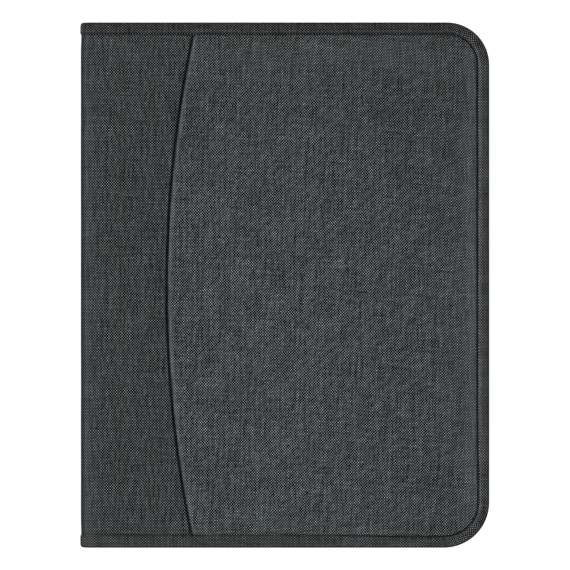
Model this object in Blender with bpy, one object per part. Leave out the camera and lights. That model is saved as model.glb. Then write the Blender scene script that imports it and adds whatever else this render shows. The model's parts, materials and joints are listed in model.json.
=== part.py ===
"""Zippered A4 ring binder, closed and lying on its back cover.

Metres, +Z up. X runs from the spine (-X) to the fore edge (+X), Y from the bottom of the page to its top,
and Z from the back cover to the front cover. The origin is the centre of the face that it rests on.

Three words are used for places on a cover: "inset" is the distance inwards from the cover's outer edge,
"depth" is the distance inwards from its outer face, and "start" is the X where a piece begins at the spine.
On the ring mechanism "height" is the distance from the spine's lining towards the pages, and "lateral" is
the distance from the middle of the spine towards the front cover.
"""

import math

import bmesh
import bpy
from mathutils import Matrix, Vector

# Overall sizes of the case
CASE_WIDTH = 0.272
CASE_HEIGHT = 0.350
INNER_DEPTH = 0.034
HEAD_CORNER_RADIUS = 0.0275
FOOT_CORNER_RADIUS = 0.0303
CORNER_STEPS = 8

# Layers of a cover and of the spine, from outside to inside
FABRIC = 0.0022
BOARD = 0.0020
LINING = 0.0007
GAP = 0.0003
PANEL = FABRIC + GAP + BOARD + GAP + LINING

# Fabric hinges between the covers and the spine
HINGE_CLEARANCE = 0.0005
HINGE_RADIUS = PANEL + HINGE_CLEARANCE
HINGE_FABRIC = 0.0010
HINGE_STEPS = 6

CASE_DEPTH = INNER_DEPTH + 2 * PANEL
MIDDLE = CASE_DEPTH / 2
SPINE_FACE = -CASE_WIDTH / 2
SPINE_LINING_FACE = SPINE_FACE + PANEL
HINGE_X = SPINE_FACE + HINGE_RADIUS
LOWER_HINGE_Z = HINGE_RADIUS
UPPER_HINGE_Z = CASE_DEPTH - HINGE_RADIUS
COVER_START = HINGE_X + GAP

# Binding tape folded round the edge, with the fabric's flange and the gusset's flange in its fold
BINDING_REACH = 0.0075
BINDING_TAPE = 0.0008
BINDING_DROP = 0.0003
BINDING_NOSE = 0.0020
BINDING_NOSE_STEPS = 6
FLANGE = 0.0008
GUSSET = 0.0008
FLANGE_INSET = BINDING_TAPE + GAP
FLANGE_DEPTH = BINDING_DROP + BINDING_TAPE + GAP
GUSSET_DEPTH = FLANGE_DEPTH + FLANGE + GAP
BINDING_BOTTOM = GUSSET_DEPTH + GUSSET + GAP + BINDING_TAPE
PAD_INSET = BINDING_REACH + GAP
PAD_ROUND = 0.0022
PAD_ROUND_STEPS = 4

# Gusset wall and zip, seen as insets from the cover's edge and distances from the middle of the depth
WALL_INSET = BINDING_REACH + GAP
BOARD_INSET = WALL_INSET + GUSSET + GAP
WALL_FROM_HINGE = 0.0012
WALL_START = HINGE_X + WALL_FROM_HINGE
GUSSET_FROM_MIDDLE = 0.0085
TAPE = 0.0006
TAPE_INSET = WALL_INSET + GUSSET + GAP
TAPE_OVERLAP = 0.0022
COIL_THICKNESS = 0.0022
COIL_WIDTH = 0.0025
COIL_FROM_MIDDLE = 0.0010
COIL_INSET = TAPE_INSET + TAPE / 2
COIL_SIDES = 8

# Zip slider and pull, on the top wall
SLIDER_LENGTH = 0.0130
SLIDER_PLATE = 0.0009
SLIDER_CLEARANCE = 0.0003
SLIDER_FLANGE = 0.0009
SLIDER_NECK_WIDTH = 0.0013
SLIDER_NECK_LENGTH = 0.0030
TAPE_SLOT = 0.0014
SLIDER_TAPER = 0.0007
BAIL_LENGTH = 0.0080
BAIL_LEG = 0.0014
BAIL_WIDTH = 0.0020
BAIL_BAR = 0.0009
PULL_THICKNESS = 0.0009
PULL_PLAY = 0.00045
PULL_WIDTH = 0.0066
PULL_ARM = 0.0018
PULL_NECK = 0.0055
PULL_LENGTH = 0.0300
PULL_HOLE = 0.0014
SLIDER_FROM_STOP = 0.0006
FRONT_CHAIN_GAP = 0.0006

# Small pieces at the ends of the zip
STOP_LENGTH = 0.0016
STOP_WALL = 0.0004
END_CAP_LENGTH = 0.0050
END_CAP = 0.0008

# Front slip pocket, whose open edge is an arc that bows towards the spine
POCKET_SHEET = 0.0009
POCKET_ROUND = 0.0012
POCKET_INSET = PAD_INSET + PAD_ROUND
POCKET_ARC_MIDDLE_X = -0.0784
POCKET_ARC_MIDDLE_Y = -0.0024
POCKET_ARC_RADIUS = 0.8220
POCKET_ARC_STEPS = 16

# Ring mechanism
RING_BORE = 0.0200
RING_WIRE = 0.0026
RING_SPACING = 0.0800
RING_COUNT = 4
RING_TIP_GAP = 0.0003
RING_STEPS = 16
RING_SIDES = 8
RING_MIDDLE_HEIGHT = 0.0128
RING_END_LATERAL = 0.0045
BLADE = 0.0010
BLADE_PIVOT_LATERAL = 0.0086
BLADE_PIVOT_HEIGHT = 0.0034
BLADE_TILT = math.radians(11)
BLADE_SPLIT = 0.0004
HOUSING_PLATE = 0.0008
HOUSING_SIDE_PLAY = 0.0006
HOUSING_SHOULDER = 0.0012
HOUSING_SIDE_HEIGHT = 0.0042
HOUSING_CROWN_HEIGHT = 0.0066
HOUSING_CROWN_STEPS = 8
HOUSING_END_MARGIN = 0.0160
NOTCH_WIDTH = RING_WIRE + 0.0012
NOTCH_LATERAL = 0.0052
NOTCH_FLOOR = 0.0032

# Opening levers at the ends of the mechanism
LEVER_PIN_RADIUS = 0.0008
LEVER_PIN_BEYOND = 0.0006
LEVER_BARREL_RADIUS = 0.0019
LEVER_FROM_CROWN = 0.0086
LEVER_PIN_HEIGHT = 0.0024
LEVER_HEIGHT = 0.0130
LEVER_PLATE = 0.0012
LEVER_HALF_WIDTH = 0.0082
LEVER_PAD_HALF_WIDTH = 0.0068
LEVER_FINGER_HALF_WIDTH = 0.0012
LEVER_FINGER_REACH = 0.0076
LEVER_FINGER = 0.0007
LEVER_FINGER_OPENING = 0.0022
BLADE_BEYOND_CROWN = 0.0020
EAR_BEYOND_PIN = 0.0026

# Rivets that hold the mechanism to the spine
RIVET_SPACING = 0.1600
RIVET_SHANK_RADIUS = 0.0020
RIVET_HEAD_RADIUS = 0.0038
RIVET_HEAD = 0.0010
RIVET_TAIL_RADIUS = 0.0033
RIVET_TAIL = 0.0008
BLADE_NOTCH_RADIUS = RIVET_SHANK_RADIUS + 0.0010

# Pockets and loops inside the covers
INNER_SHEET = 0.0007
INNER_EDGE_MARGIN = 0.0040
SLEEVE_START = 0.0380
SLEEVE_BELOW_HEAD = 0.1300
SLEEVE_TOP = CASE_HEIGHT / 2 - SLEEVE_BELOW_HEAD
DOCUMENT_POCKET_BELOW_HEAD = 0.1700
DOCUMENT_POCKET_TOP = CASE_HEIGHT / 2 - DOCUMENT_POCKET_BELOW_HEAD
CARD_SLOT_COUNT = 4
CARD_SLOT_WIDTH = 0.0960
CARD_SLOT_HEIGHT = 0.0560
CARD_SLOT_STEP = 0.0130
CARD_SLOT_X = -0.0880
CARD_SLOT_BELOW_HEAD = 0.1470
CARD_SLOT_Y = CASE_HEIGHT / 2 - CARD_SLOT_BELOW_HEAD
PHONE_POCKET_X = 0.0160
PHONE_POCKET_WIDTH = 0.0740
PHONE_POCKET_HEIGHT = 0.1150
PANEL_CORNER = 0.0030
PEN_LOOP_COUNT = 2
PEN_LOOP_BORE = 0.0110
PEN_LOOP_WALL = 0.0010
PEN_LOOP_LENGTH = 0.0240
PEN_LOOP_PITCH = 0.0145
PEN_LOOP_X = 0.1010
PEN_LOOP_BELOW_HEAD = 0.1150
PEN_LOOP_Y = CASE_HEIGHT / 2 - PEN_LOOP_BELOW_HEAD
PEN_LOOP_STEPS = 20

ROUND_STEPS = 16
CUT_THROUGH = 0.0020
SMOOTH_ANGLE = math.radians(35)

# Finishes: colour, roughness and metallic value
FINISHES = {
    "outer_fabric": ((0.056, 0.063, 0.065), 0.85, 0.0),
    "binding_tape": ((0.042, 0.044, 0.044), 0.88, 0.0),
    "board": ((0.30, 0.27, 0.22), 0.90, 0.0),
    "lining": ((0.020, 0.021, 0.022), 0.80, 0.0),
    "zip_tape": ((0.014, 0.014, 0.015), 0.85, 0.0),
    "zip_coil": ((0.012, 0.012, 0.013), 0.45, 0.0),
    "zip_metal": ((0.10, 0.10, 0.105), 0.35, 1.0),
    "nickel_steel": ((0.72, 0.71, 0.69), 0.22, 1.0),
    "elastic": ((0.016, 0.016, 0.017), 0.75, 0.0),
}


def clear_scene():
    for item in list(bpy.data.objects):
        bpy.data.objects.remove(item)


def material(name):
    found = bpy.data.materials.get(name)
    if found:
        return found
    colour, roughness, metallic = FINISHES[name]
    made = bpy.data.materials.new(name)
    made.use_nodes = True
    shader = made.node_tree.nodes["Principled BSDF"]
    shader.inputs["Base Color"].default_value = (*colour, 1)
    shader.inputs["Roughness"].default_value = roughness
    shader.inputs["Metallic"].default_value = metallic
    made.diffuse_color = (*colour, 1)
    return made


# Meshes from rings of points


def solid(rings, cyclic=False):
    """A closed mesh through rings of points, each ring a closed polygon with the same number of points."""
    made = bmesh.new()
    rows = [[made.verts.new(point) for point in ring] for ring in rings]
    following = rows[1:] + rows[:1] if cyclic else rows[1:]
    for row, after in zip(rows, following):
        for i in range(len(row)):
            j = (i + 1) % len(row)
            made.faces.new((row[i], row[j], after[j], after[i]))
    if not cyclic:
        made.faces.new(rows[0])
        made.faces.new(rows[-1])
    bmesh.ops.recalc_face_normals(made, faces=made.faces)
    return made


def joined(*meshes):
    """Several closed meshes that don't meet, as one mesh, for use as a cutter."""
    whole = bmesh.new()
    for mesh in meshes:
        held = bpy.data.meshes.new("held")
        mesh.to_mesh(held)
        whole.from_mesh(held)
        bpy.data.meshes.remove(held)
        mesh.free()
    return whole


def block(low, high):
    (x0, y0, z0), (x1, y1, z1) = low, high
    return solid(
        [
            [(x0, y0, z), (x1, y0, z), (x1, y1, z), (x0, y1, z)]
            for z in (z0, z1)
        ]
    )


def cylinder(centre, along, half_length, radius):
    """A cylinder about a centre, along the axis numbered 0, 1 or 2 for X, Y or Z."""
    across = [axis for axis in range(3) if axis != along]
    rings = []
    for end in (-half_length, half_length):
        ring = []
        for step in range(ROUND_STEPS):
            turn = 2 * math.pi * step / ROUND_STEPS
            point = list(centre)
            point[along] += end
            point[across[0]] += radius * math.cos(turn)
            point[across[1]] += radius * math.sin(turn)
            ring.append(point)
        rings.append(ring)
    return solid(rings)


def rounded_corner(centre_x, centre_y, radius, first_turn, steps=4):
    """Points of a quarter circle, turning anticlockwise from an angle given in degrees."""
    turns = [math.radians(first_turn + 90 * step / steps) for step in range(steps + 1)]
    return [
        (centre_x + radius * math.cos(turn), centre_y + radius * math.sin(turn))
        for turn in turns
    ]


def beside(path, distance):
    """An open path moved to its right by a distance, with mitred corners."""
    moved = []
    for i, point in enumerate(path):
        here = Vector(point)
        before = (here - Vector(path[i - 1])).normalized() if i else None
        after = (Vector(path[i + 1]) - here).normalized() if i + 1 < len(path) else None
        first = before or after
        second = after or before
        along = (first + second).normalized()
        right = Vector((along.y, -along.x))
        reach = distance / right.dot(Vector((first.y, -first.x)))
        moved.append(tuple(here + right * reach))
    return moved


def rounded_rectangle(x0, x1, y0, y1, radius):
    return (
        rounded_corner(x1 - radius, y0 + radius, radius, -90)
        + rounded_corner(x1 - radius, y1 - radius, radius, 0)
        + rounded_corner(x0 + radius, y1 - radius, radius, 90)
        + rounded_corner(x0 + radius, y0 + radius, radius, 180)
    )


# Objects


def add(name, mesh, finish, body, smooth=False):
    """Makes the mesh an object of its own, whose origin is its body's, on the joint's axis."""
    held = bpy.data.meshes.new(name)
    mesh.to_mesh(held)
    mesh.free()
    held.transform(Matrix.Translation(-body_places[body]))
    if smooth:
        held.shade_smooth()
        held.set_sharp_from_angle(angle=SMOOTH_ANGLE)
    made = bpy.data.objects.new(name, held)
    bpy.context.scene.collection.objects.link(made)
    made.parent = bodies[body]
    made.data.materials.append(material(finish))
    return made


def boolean(target, tool_mesh, operation, name):
    """Cuts the tool's mesh out of the target, or joins it on. The tool stays as a hidden helper."""
    held = bpy.data.meshes.new(name)
    tool_mesh.to_mesh(held)
    tool_mesh.free()
    held.transform(Matrix.Translation(-target.parent.matrix_world.translation))
    tool = bpy.data.objects.new(name, held)
    bpy.context.scene.collection.objects.link(tool)
    tool.parent = target.parent
    tool.hide_render = True
    tool.display_type = "WIRE"
    modifier = target.modifiers.new(name, "BOOLEAN")
    modifier.operation = operation
    modifier.object = tool


def add_bodies():
    """An empty on each joint's axis, parented as the moving bodies are."""
    tree = {
        "back_cover": (None, (0, 0, 0)),
        "spine": ("back_cover", (HINGE_X, 0, LOWER_HINGE_Z)),
        "front_cover": ("spine", (HINGE_X, 0, UPPER_HINGE_Z)),
        "ring_bank_front": ("spine", mechanism(BLADE_PIVOT_LATERAL, BLADE_PIVOT_HEIGHT, 0)),
        "ring_bank_back": ("spine", mechanism(-BLADE_PIVOT_LATERAL, BLADE_PIVOT_HEIGHT, 0)),
        "lever_top": ("spine", mechanism(0, LEVER_PIN_HEIGHT, LEVER_PIN_Y)),
        "lever_bottom": ("spine", mechanism(0, LEVER_PIN_HEIGHT, -LEVER_PIN_Y)),
        "slider": ("back_cover", (SLIDER_X, CASE_HEIGHT / 2 - COIL_INSET, MIDDLE)),
        "pull": ("slider", (SLIDER_X, CASE_HEIGHT / 2 - PULL_INSET, MIDDLE)),
    }
    for name, (parent, place) in tree.items():
        empty = bpy.data.objects.new(name + "_axis", None)
        bpy.context.scene.collection.objects.link(empty)
        body_places[name] = Vector(place)
        bodies[name] = empty
        if parent:
            empty.parent = bodies[parent]
            empty.location = body_places[name] - body_places[parent]
    bpy.context.view_layer.update()


# The cover's outline


def stations(start, bottom_start=None):
    """Places along a cover's three free edges, from the spine round the fore edge and back to the spine.

    Each is a point of the outer edge and the direction out of the cover there. The bottom edge may start
    at an X of its own."""
    half_width, half_height = CASE_WIDTH / 2, CASE_HEIGHT / 2
    quarter = [math.pi / 2 * step / CORNER_STEPS for step in range(CORNER_STEPS + 1)]
    places = [(start, half_height, 0, 1)]
    for turn in quarter:
        out_x, out_y = math.sin(turn), math.cos(turn)
        edge_x = half_width - HEAD_CORNER_RADIUS * (1 - out_x)
        edge_y = half_height - HEAD_CORNER_RADIUS * (1 - out_y)
        places.append((edge_x, edge_y, out_x, out_y))
    for turn in quarter:
        out_x, out_y = math.cos(turn), -math.sin(turn)
        edge_x = half_width - FOOT_CORNER_RADIUS * (1 - out_x)
        edge_y = -half_height + FOOT_CORNER_RADIUS * (1 + out_y)
        places.append((edge_x, edge_y, out_x, out_y))
    places.append((start if bottom_start is None else bottom_start, -half_height, 0, -1))
    return places


def at_inset(place, inset):
    edge_x, edge_y, out_x, out_y = place
    return edge_x - out_x * inset, edge_y - out_y * inset


def outline(inset, start):
    return [at_inset(place, inset) for place in stations(start)]


def cover_z(depth, cover):
    return depth if cover == "back" else CASE_DEPTH - depth


def stacked(levels, cover, start=None):
    """A plate with the cover's outline, through levels of (inset, depth)."""
    begin = COVER_START if start is None else start
    return solid(
        [
            [(x, y, cover_z(depth, cover)) for x, y in outline(inset, begin)]
            for inset, depth in levels
        ]
    )


def flat_plate(points, depth, thickness, cover):
    """A plate of one thickness whose outline is given as (x, y) points."""
    return solid(
        [
            [(x, y, cover_z(level, cover)) for x, y in points]
            for level in (depth, depth + thickness)
        ]
    )


def swept(profile, cover, start, bottom_start=None):
    """A strip along the three free edges with a profile of (inset, depth) points."""
    rings = []
    for place in stations(start, bottom_start):
        rings.append(
            [(*at_inset(place, inset), cover_z(depth, cover)) for inset, depth in profile]
        )
    return solid(rings)


# Covers and spine


def pad_levels():
    """The outer fabric: a flange that goes into the binding, and a padded field with a round edge."""
    levels = [
        (FLANGE_INSET, FABRIC),
        (FLANGE_INSET, FLANGE_DEPTH),
        (PAD_INSET, FLANGE_DEPTH),
    ]
    rise = FLANGE_DEPTH - GAP
    for step in range(PAD_ROUND_STEPS + 1):
        turn = math.pi / 2 * step / PAD_ROUND_STEPS
        levels.append(
            (PAD_INSET + PAD_ROUND * (1 - math.cos(turn)), rise * (1 - math.sin(turn)))
        )
    return levels


def binding_profile():
    """The binding tape's fold, open towards the inside, with a round nose at the edge."""
    half = (BINDING_BOTTOM - BINDING_DROP) / 2
    centre = BINDING_DROP + half
    nose = []
    for step in range(BINDING_NOSE_STEPS + 1):
        turn = math.pi * step / BINDING_NOSE_STEPS
        nose.append((BINDING_NOSE * (1 - math.sin(turn)), centre - half * math.cos(turn)))
    fold = [
        (BINDING_REACH, BINDING_BOTTOM),
        (BINDING_REACH, BINDING_BOTTOM - BINDING_TAPE),
        (BINDING_TAPE, BINDING_BOTTOM - BINDING_TAPE),
        (BINDING_TAPE, BINDING_DROP + BINDING_TAPE),
        (BINDING_REACH, BINDING_DROP + BINDING_TAPE),
        (BINDING_REACH, BINDING_DROP),
    ]
    return nose + fold


def wall_depth(from_middle):
    """The depth of a place on the side wall, from its distance to the middle of the case."""
    return MIDDLE - from_middle


def gusset_profile():
    """The gusset's flange in the binding and its wall at a right angle to the cover."""
    return [
        (FLANGE_INSET, GUSSET_DEPTH),
        (WALL_INSET + GUSSET, GUSSET_DEPTH),
        (WALL_INSET + GUSSET, wall_depth(GUSSET_FROM_MIDDLE)),
        (WALL_INSET, wall_depth(GUSSET_FROM_MIDDLE)),
        (WALL_INSET, GUSSET_DEPTH + GUSSET),
        (FLANGE_INSET, GUSSET_DEPTH + GUSSET),
    ]


def tape_profile():
    outer = wall_depth(GUSSET_FROM_MIDDLE + TAPE_OVERLAP)
    inner = wall_depth(COIL_FROM_MIDDLE + COIL_WIDTH + GAP)
    return [
        (TAPE_INSET, outer),
        (TAPE_INSET + TAPE, outer),
        (TAPE_INSET + TAPE, inner),
        (TAPE_INSET, inner),
    ]


def coil_profile():
    """The row of teeth of one side, as an oval bead along the tape's edge."""
    middle = wall_depth(COIL_FROM_MIDDLE + COIL_WIDTH / 2)
    points = []
    for step in range(COIL_SIDES):
        turn = 2 * math.pi * (step + 0.5) / COIL_SIDES
        grow = 1 / math.cos(math.pi / COIL_SIDES)
        points.append(
            (
                COIL_INSET + COIL_THICKNESS / 2 * grow * math.cos(turn),
                middle + COIL_WIDTH / 2 * grow * math.sin(turn),
            )
        )
    return points


def add_cover(cover, chain_start):
    """The pieces that the front and the back cover have alike. The teeth start at an X of their own."""
    body = cover + "_cover"
    add(cover + "_outer_fabric", stacked(pad_levels(), cover), "outer_fabric", body)
    board_depth = FABRIC + GAP
    board = [(BOARD_INSET, board_depth), (BOARD_INSET, board_depth + BOARD)]
    add(cover + "_board", stacked(board, cover), "board", body)
    lining = [(BOARD_INSET, PANEL - LINING), (BOARD_INSET, PANEL)]
    add(cover + "_lining", stacked(lining, cover), "lining", body)
    add(
        cover + "_binding",
        swept(binding_profile(), cover, COVER_START),
        "binding_tape",
        body,
        smooth=True,
    )
    add(cover + "_gusset", swept(gusset_profile(), cover, WALL_START), "outer_fabric", body)
    add(cover + "_zip_tape", swept(tape_profile(), cover, WALL_START), "zip_tape", body)
    add(
        cover + "_zip_teeth",
        swept(coil_profile(), cover, chain_start, BACK_CHAIN_START),
        "zip_coil",
        body,
        smooth=True,
    )


def add_front_pocket():
    """The slip pocket's sheet on the front cover, from the arc of its opening to the fore edge."""
    end_y = CASE_HEIGHT / 2 - POCKET_INSET
    turns = [
        math.asin((end * end_y - POCKET_ARC_MIDDLE_Y) / POCKET_ARC_RADIUS) for end in (-1, 1)
    ]

    def ring(inset, depth):
        points = [at_inset(place, inset) for place in stations(0)[1:-1]]
        reach = POCKET_ARC_RADIUS - (inset - POCKET_INSET)
        for step in range(POCKET_ARC_STEPS + 1):
            turn = turns[0] + (turns[1] - turns[0]) * step / POCKET_ARC_STEPS
            x = POCKET_ARC_MIDDLE_X + POCKET_ARC_RADIUS - reach * math.cos(turn)
            y = POCKET_ARC_MIDDLE_Y + reach * math.sin(turn)
            limit = CASE_HEIGHT / 2 - inset
            points.append((x, max(-limit, min(limit, y))))
        return [(x, y, cover_z(depth, "front")) for x, y in points]

    sheet_top = -GAP - POCKET_SHEET
    mesh = solid(
        [
            ring(POCKET_INSET, -GAP),
            ring(POCKET_INSET, -GAP - POCKET_SHEET / 2),
            ring(POCKET_INSET + POCKET_ROUND, sheet_top),
        ]
    )
    add("front_pocket_sheet", mesh, "outer_fabric", "front_cover")


def spine_block(y_inset, depth, thickness):
    """A plate of the spine, between the two hinges."""
    half = CASE_HEIGHT / 2 - y_inset
    return block(
        (SPINE_FACE + depth, -half, LOWER_HINGE_Z + GAP),
        (SPINE_FACE + depth + thickness, half, UPPER_HINGE_Z - GAP),
    )


def add_spine():
    rings = []
    for inset, depth in pad_levels():
        x = SPINE_FACE + depth
        y = CASE_HEIGHT / 2 - inset
        low, high = LOWER_HINGE_Z + GAP, UPPER_HINGE_Z - GAP
        rings.append([(x, -y, low), (x, -y, high), (x, y, high), (x, y, low)])
    add("spine_outer_fabric", solid(rings), "outer_fabric", "spine")
    board_depth = FABRIC + GAP
    board = add("spine_board", spine_block(PAD_INSET, board_depth, BOARD), "board", "spine")
    lining_depth = PANEL - LINING
    lining = add("spine_lining", spine_block(PAD_INSET, lining_depth, LINING), "lining", "spine")
    for end, name in ((1, "top"), (-1, "bottom")):
        rings = []
        for z in (LOWER_HINGE_Z + GAP, UPPER_HINGE_Z - GAP):
            rings.append(
                [
                    (SPINE_FACE + depth, end * (CASE_HEIGHT / 2 - inset), z)
                    for inset, depth in binding_profile()
                ]
            )
        mesh = solid(rings)
        add("spine_binding_" + name, mesh, "binding_tape", "spine", smooth=True)
    holes = joined(*(rivet_hole(end) for end in (-1, 1)))
    boolean(lining, holes, "DIFFERENCE", "lining_rivet_holes")
    sunk = joined(*(rivet_hole(end) for end in (-1, 1)))
    boolean(board, sunk, "DIFFERENCE", "board_rivet_holes")
    tails = joined(*(rivet_tail_seat(end) for end in (-1, 1)))
    boolean(board, tails, "DIFFERENCE", "board_tail_seats")


def quarter_strip(axis_z, first_turn, inner, outer):
    """A strip bent a quarter turn round a hinge axis, as long as the case is high."""
    half = CASE_HEIGHT / 2
    rings = []
    for step in range(HINGE_STEPS + 1):
        turn = math.radians(first_turn) + math.pi / 2 * step / HINGE_STEPS
        along, up = math.cos(turn), math.sin(turn)
        rings.append(
            [
                (HINGE_X + radius * along, y, axis_z + radius * up)
                for radius, y in (
                    (inner, -half),
                    (outer, -half),
                    (outer, half),
                    (inner, half),
                )
            ]
        )
    return solid(rings)


def add_hinges():
    """The outer fabric and the lining where they bend between a cover and the spine."""
    for cover, axis_z, first_turn, body in (
        ("front", UPPER_HINGE_Z, 90, "spine"),
        ("back", LOWER_HINGE_Z, 180, "back_cover"),
    ):
        outer = quarter_strip(axis_z, first_turn, HINGE_RADIUS - HINGE_FABRIC, HINGE_RADIUS)
        add(cover + "_hinge_fabric", outer, "outer_fabric", body, smooth=True)
        inner_radius = HINGE_RADIUS - PANEL
        inner = quarter_strip(axis_z, first_turn, inner_radius, inner_radius + LINING)
        add(cover + "_hinge_lining", inner, "lining", body, smooth=True)


# Ring mechanism


def mechanism(lateral, height, y):
    """A place on the ring mechanism, which stands on the spine's lining."""
    return (SPINE_LINING_FACE + height, y, MIDDLE + lateral)


RING_RADIUS = (RING_BORE + RING_WIRE) / 2
RING_SPAN = RING_SPACING * (RING_COUNT - 1)
CROWN_HALF_LENGTH = RING_SPAN / 2 + HOUSING_END_MARGIN
LEVER_PIN_Y = CROWN_HALF_LENGTH + LEVER_FROM_CROWN
HOUSING_HALF_LENGTH = LEVER_PIN_Y + EAR_BEYOND_PIN
BLADE_HALF_LENGTH = CROWN_HALF_LENGTH + BLADE_BEYOND_CROWN
HOUSING_INNER_LATERAL = BLADE_PIVOT_LATERAL + HOUSING_SIDE_PLAY
HOUSING_HALF_WIDTH = HOUSING_INNER_LATERAL + HOUSING_PLATE
LEVER_PIN_HALF_LENGTH = HOUSING_HALF_WIDTH + LEVER_PIN_BEYOND
BORE_CLEARANCE = 0.0003


def ring_places():
    return [RING_SPACING * i - RING_SPAN / 2 for i in range(RING_COUNT)]


def housing_profile():
    """The arched steel plate across the mechanism, as (lateral, height) points."""
    half = HOUSING_HALF_WIDTH - HOUSING_SHOULDER
    rise = HOUSING_CROWN_HEIGHT - HOUSING_SIDE_HEIGHT - HOUSING_SHOULDER
    radius = (half**2 + rise**2) / (2 * rise)
    outer = [(-HOUSING_HALF_WIDTH, GAP), (-HOUSING_HALF_WIDTH, HOUSING_SIDE_HEIGHT)]
    for step in range(HOUSING_CROWN_STEPS + 1):
        lateral = half * (2 * step / HOUSING_CROWN_STEPS - 1)
        drop = radius - math.sqrt(radius**2 - lateral**2)
        outer.append((lateral, HOUSING_CROWN_HEIGHT - drop))
    outer += [(HOUSING_HALF_WIDTH, HOUSING_SIDE_HEIGHT), (HOUSING_HALF_WIDTH, GAP)]
    return outer + beside(outer, HOUSING_PLATE)[::-1]


def add_housing():
    profile = housing_profile()
    rings = [
        [mechanism(lateral, height, y) for lateral, height in profile]
        for y in (-HOUSING_HALF_LENGTH, HOUSING_HALF_LENGTH)
    ]
    housing = add("ring_housing", solid(rings), "nickel_steel", "spine")
    notches = []
    for y in ring_places():
        for side in (-1, 1):
            reach = HOUSING_HALF_WIDTH + CUT_THROUGH
            lateral = sorted((side * NOTCH_LATERAL, side * reach))
            top = HOUSING_CROWN_HEIGHT + CUT_THROUGH
            notches.append(
                block(
                    mechanism(lateral[0], NOTCH_FLOOR, y - NOTCH_WIDTH / 2),
                    mechanism(lateral[1], top, y + NOTCH_WIDTH / 2),
                )
            )
    boolean(housing, joined(*notches), "DIFFERENCE", "ring_notches")
    beyond = CUT_THROUGH
    above_ears = LEVER_PIN_HEIGHT + LEVER_BARREL_RADIUS
    ends = []
    for end in (-1, 1):
        y0, y1 = sorted((end * CROWN_HALF_LENGTH, end * (HOUSING_HALF_LENGTH + beyond)))
        ends.append(
            block(
                mechanism(-HOUSING_HALF_WIDTH - beyond, above_ears, y0),
                mechanism(HOUSING_HALF_WIDTH + beyond, HOUSING_CROWN_HEIGHT + beyond, y1),
            )
        )
    boolean(housing, joined(*ends), "DIFFERENCE", "crown_ends")
    holes = []
    for end in (-1, 1):
        pin = mechanism(0, LEVER_PIN_HEIGHT, end * LEVER_PIN_Y)
        reach = HOUSING_HALF_WIDTH + beyond
        holes.append(cylinder(pin, 2, reach, LEVER_PIN_RADIUS + BORE_CLEARANCE))
    boolean(housing, joined(*holes), "DIFFERENCE", "pin_holes")
    rivets = joined(*(rivet_hole(end) for end in (-1, 1)))
    boolean(housing, rivets, "DIFFERENCE", "housing_rivet_holes")


def rivet_hole(end):
    """A cutter for the rivet's shank, through the housing, the lining and the board."""
    place = mechanism(0, 0, end * RIVET_SPACING / 2)
    return cylinder(place, 0, PANEL + HOUSING_CROWN_HEIGHT, RIVET_SHANK_RADIUS + GAP)


def rivet_tail_seat(end):
    """The recess in the board's outer face for the rivet's spread tail."""
    depth = FABRIC + GAP
    x0 = SPINE_FACE + depth - CUT_THROUGH
    x1 = SPINE_FACE + depth + RIVET_TAIL + 2 * GAP
    centre = ((x0 + x1) / 2, end * RIVET_SPACING / 2, MIDDLE)
    return cylinder(centre, 0, (x1 - x0) / 2, RIVET_TAIL_RADIUS + GAP)


def add_rivets():
    """Two rivets: a flat head on the housing, a shank, and a tail spread in the board."""
    tail_x = SPINE_FACE + FABRIC + 2 * GAP
    head_x = SPINE_LINING_FACE + HOUSING_CROWN_HEIGHT + GAP
    profile = [
        (tail_x, RIVET_TAIL_RADIUS),
        (tail_x + RIVET_TAIL, RIVET_TAIL_RADIUS),
        (tail_x + RIVET_TAIL, RIVET_SHANK_RADIUS),
        (head_x, RIVET_SHANK_RADIUS),
        (head_x, RIVET_HEAD_RADIUS),
        (head_x + RIVET_HEAD * 0.5, RIVET_HEAD_RADIUS),
        (head_x + RIVET_HEAD, RIVET_HEAD_RADIUS * 0.7),
    ]
    for end, name in ((1, "top"), (-1, "bottom")):
        rings = []
        for x, radius in profile:
            ring = []
            for step in range(ROUND_STEPS):
                turn = 2 * math.pi * step / ROUND_STEPS
                y = end * RIVET_SPACING / 2 + radius * math.cos(turn)
                ring.append((x, y, MIDDLE + radius * math.sin(turn)))
            rings.append(ring)
        add("mounting_rivet_" + name, solid(rings), "nickel_steel", "spine", smooth=True)


def blade_mesh(side):
    """One of the two hinged plates under the crown, tilted down towards the middle."""
    inwards = Vector((-side * math.cos(BLADE_TILT), -math.sin(BLADE_TILT)))
    upwards = Vector((-side * math.sin(BLADE_TILT), math.cos(BLADE_TILT)))
    pivot = Vector((side * BLADE_PIVOT_LATERAL, BLADE_PIVOT_HEIGHT))
    width = BLADE_PIVOT_LATERAL - BLADE_SPLIT / 2
    corners = [
        pivot + upwards * BLADE / 2,
        pivot + inwards * width + upwards * BLADE / 2,
        pivot + inwards * width - upwards * BLADE / 2,
        pivot - upwards * BLADE / 2,
    ]
    return solid(
        [
            [mechanism(corner.x, corner.y, y) for corner in corners]
            for y in (-BLADE_HALF_LENGTH, BLADE_HALF_LENGTH)
        ]
    )


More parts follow.
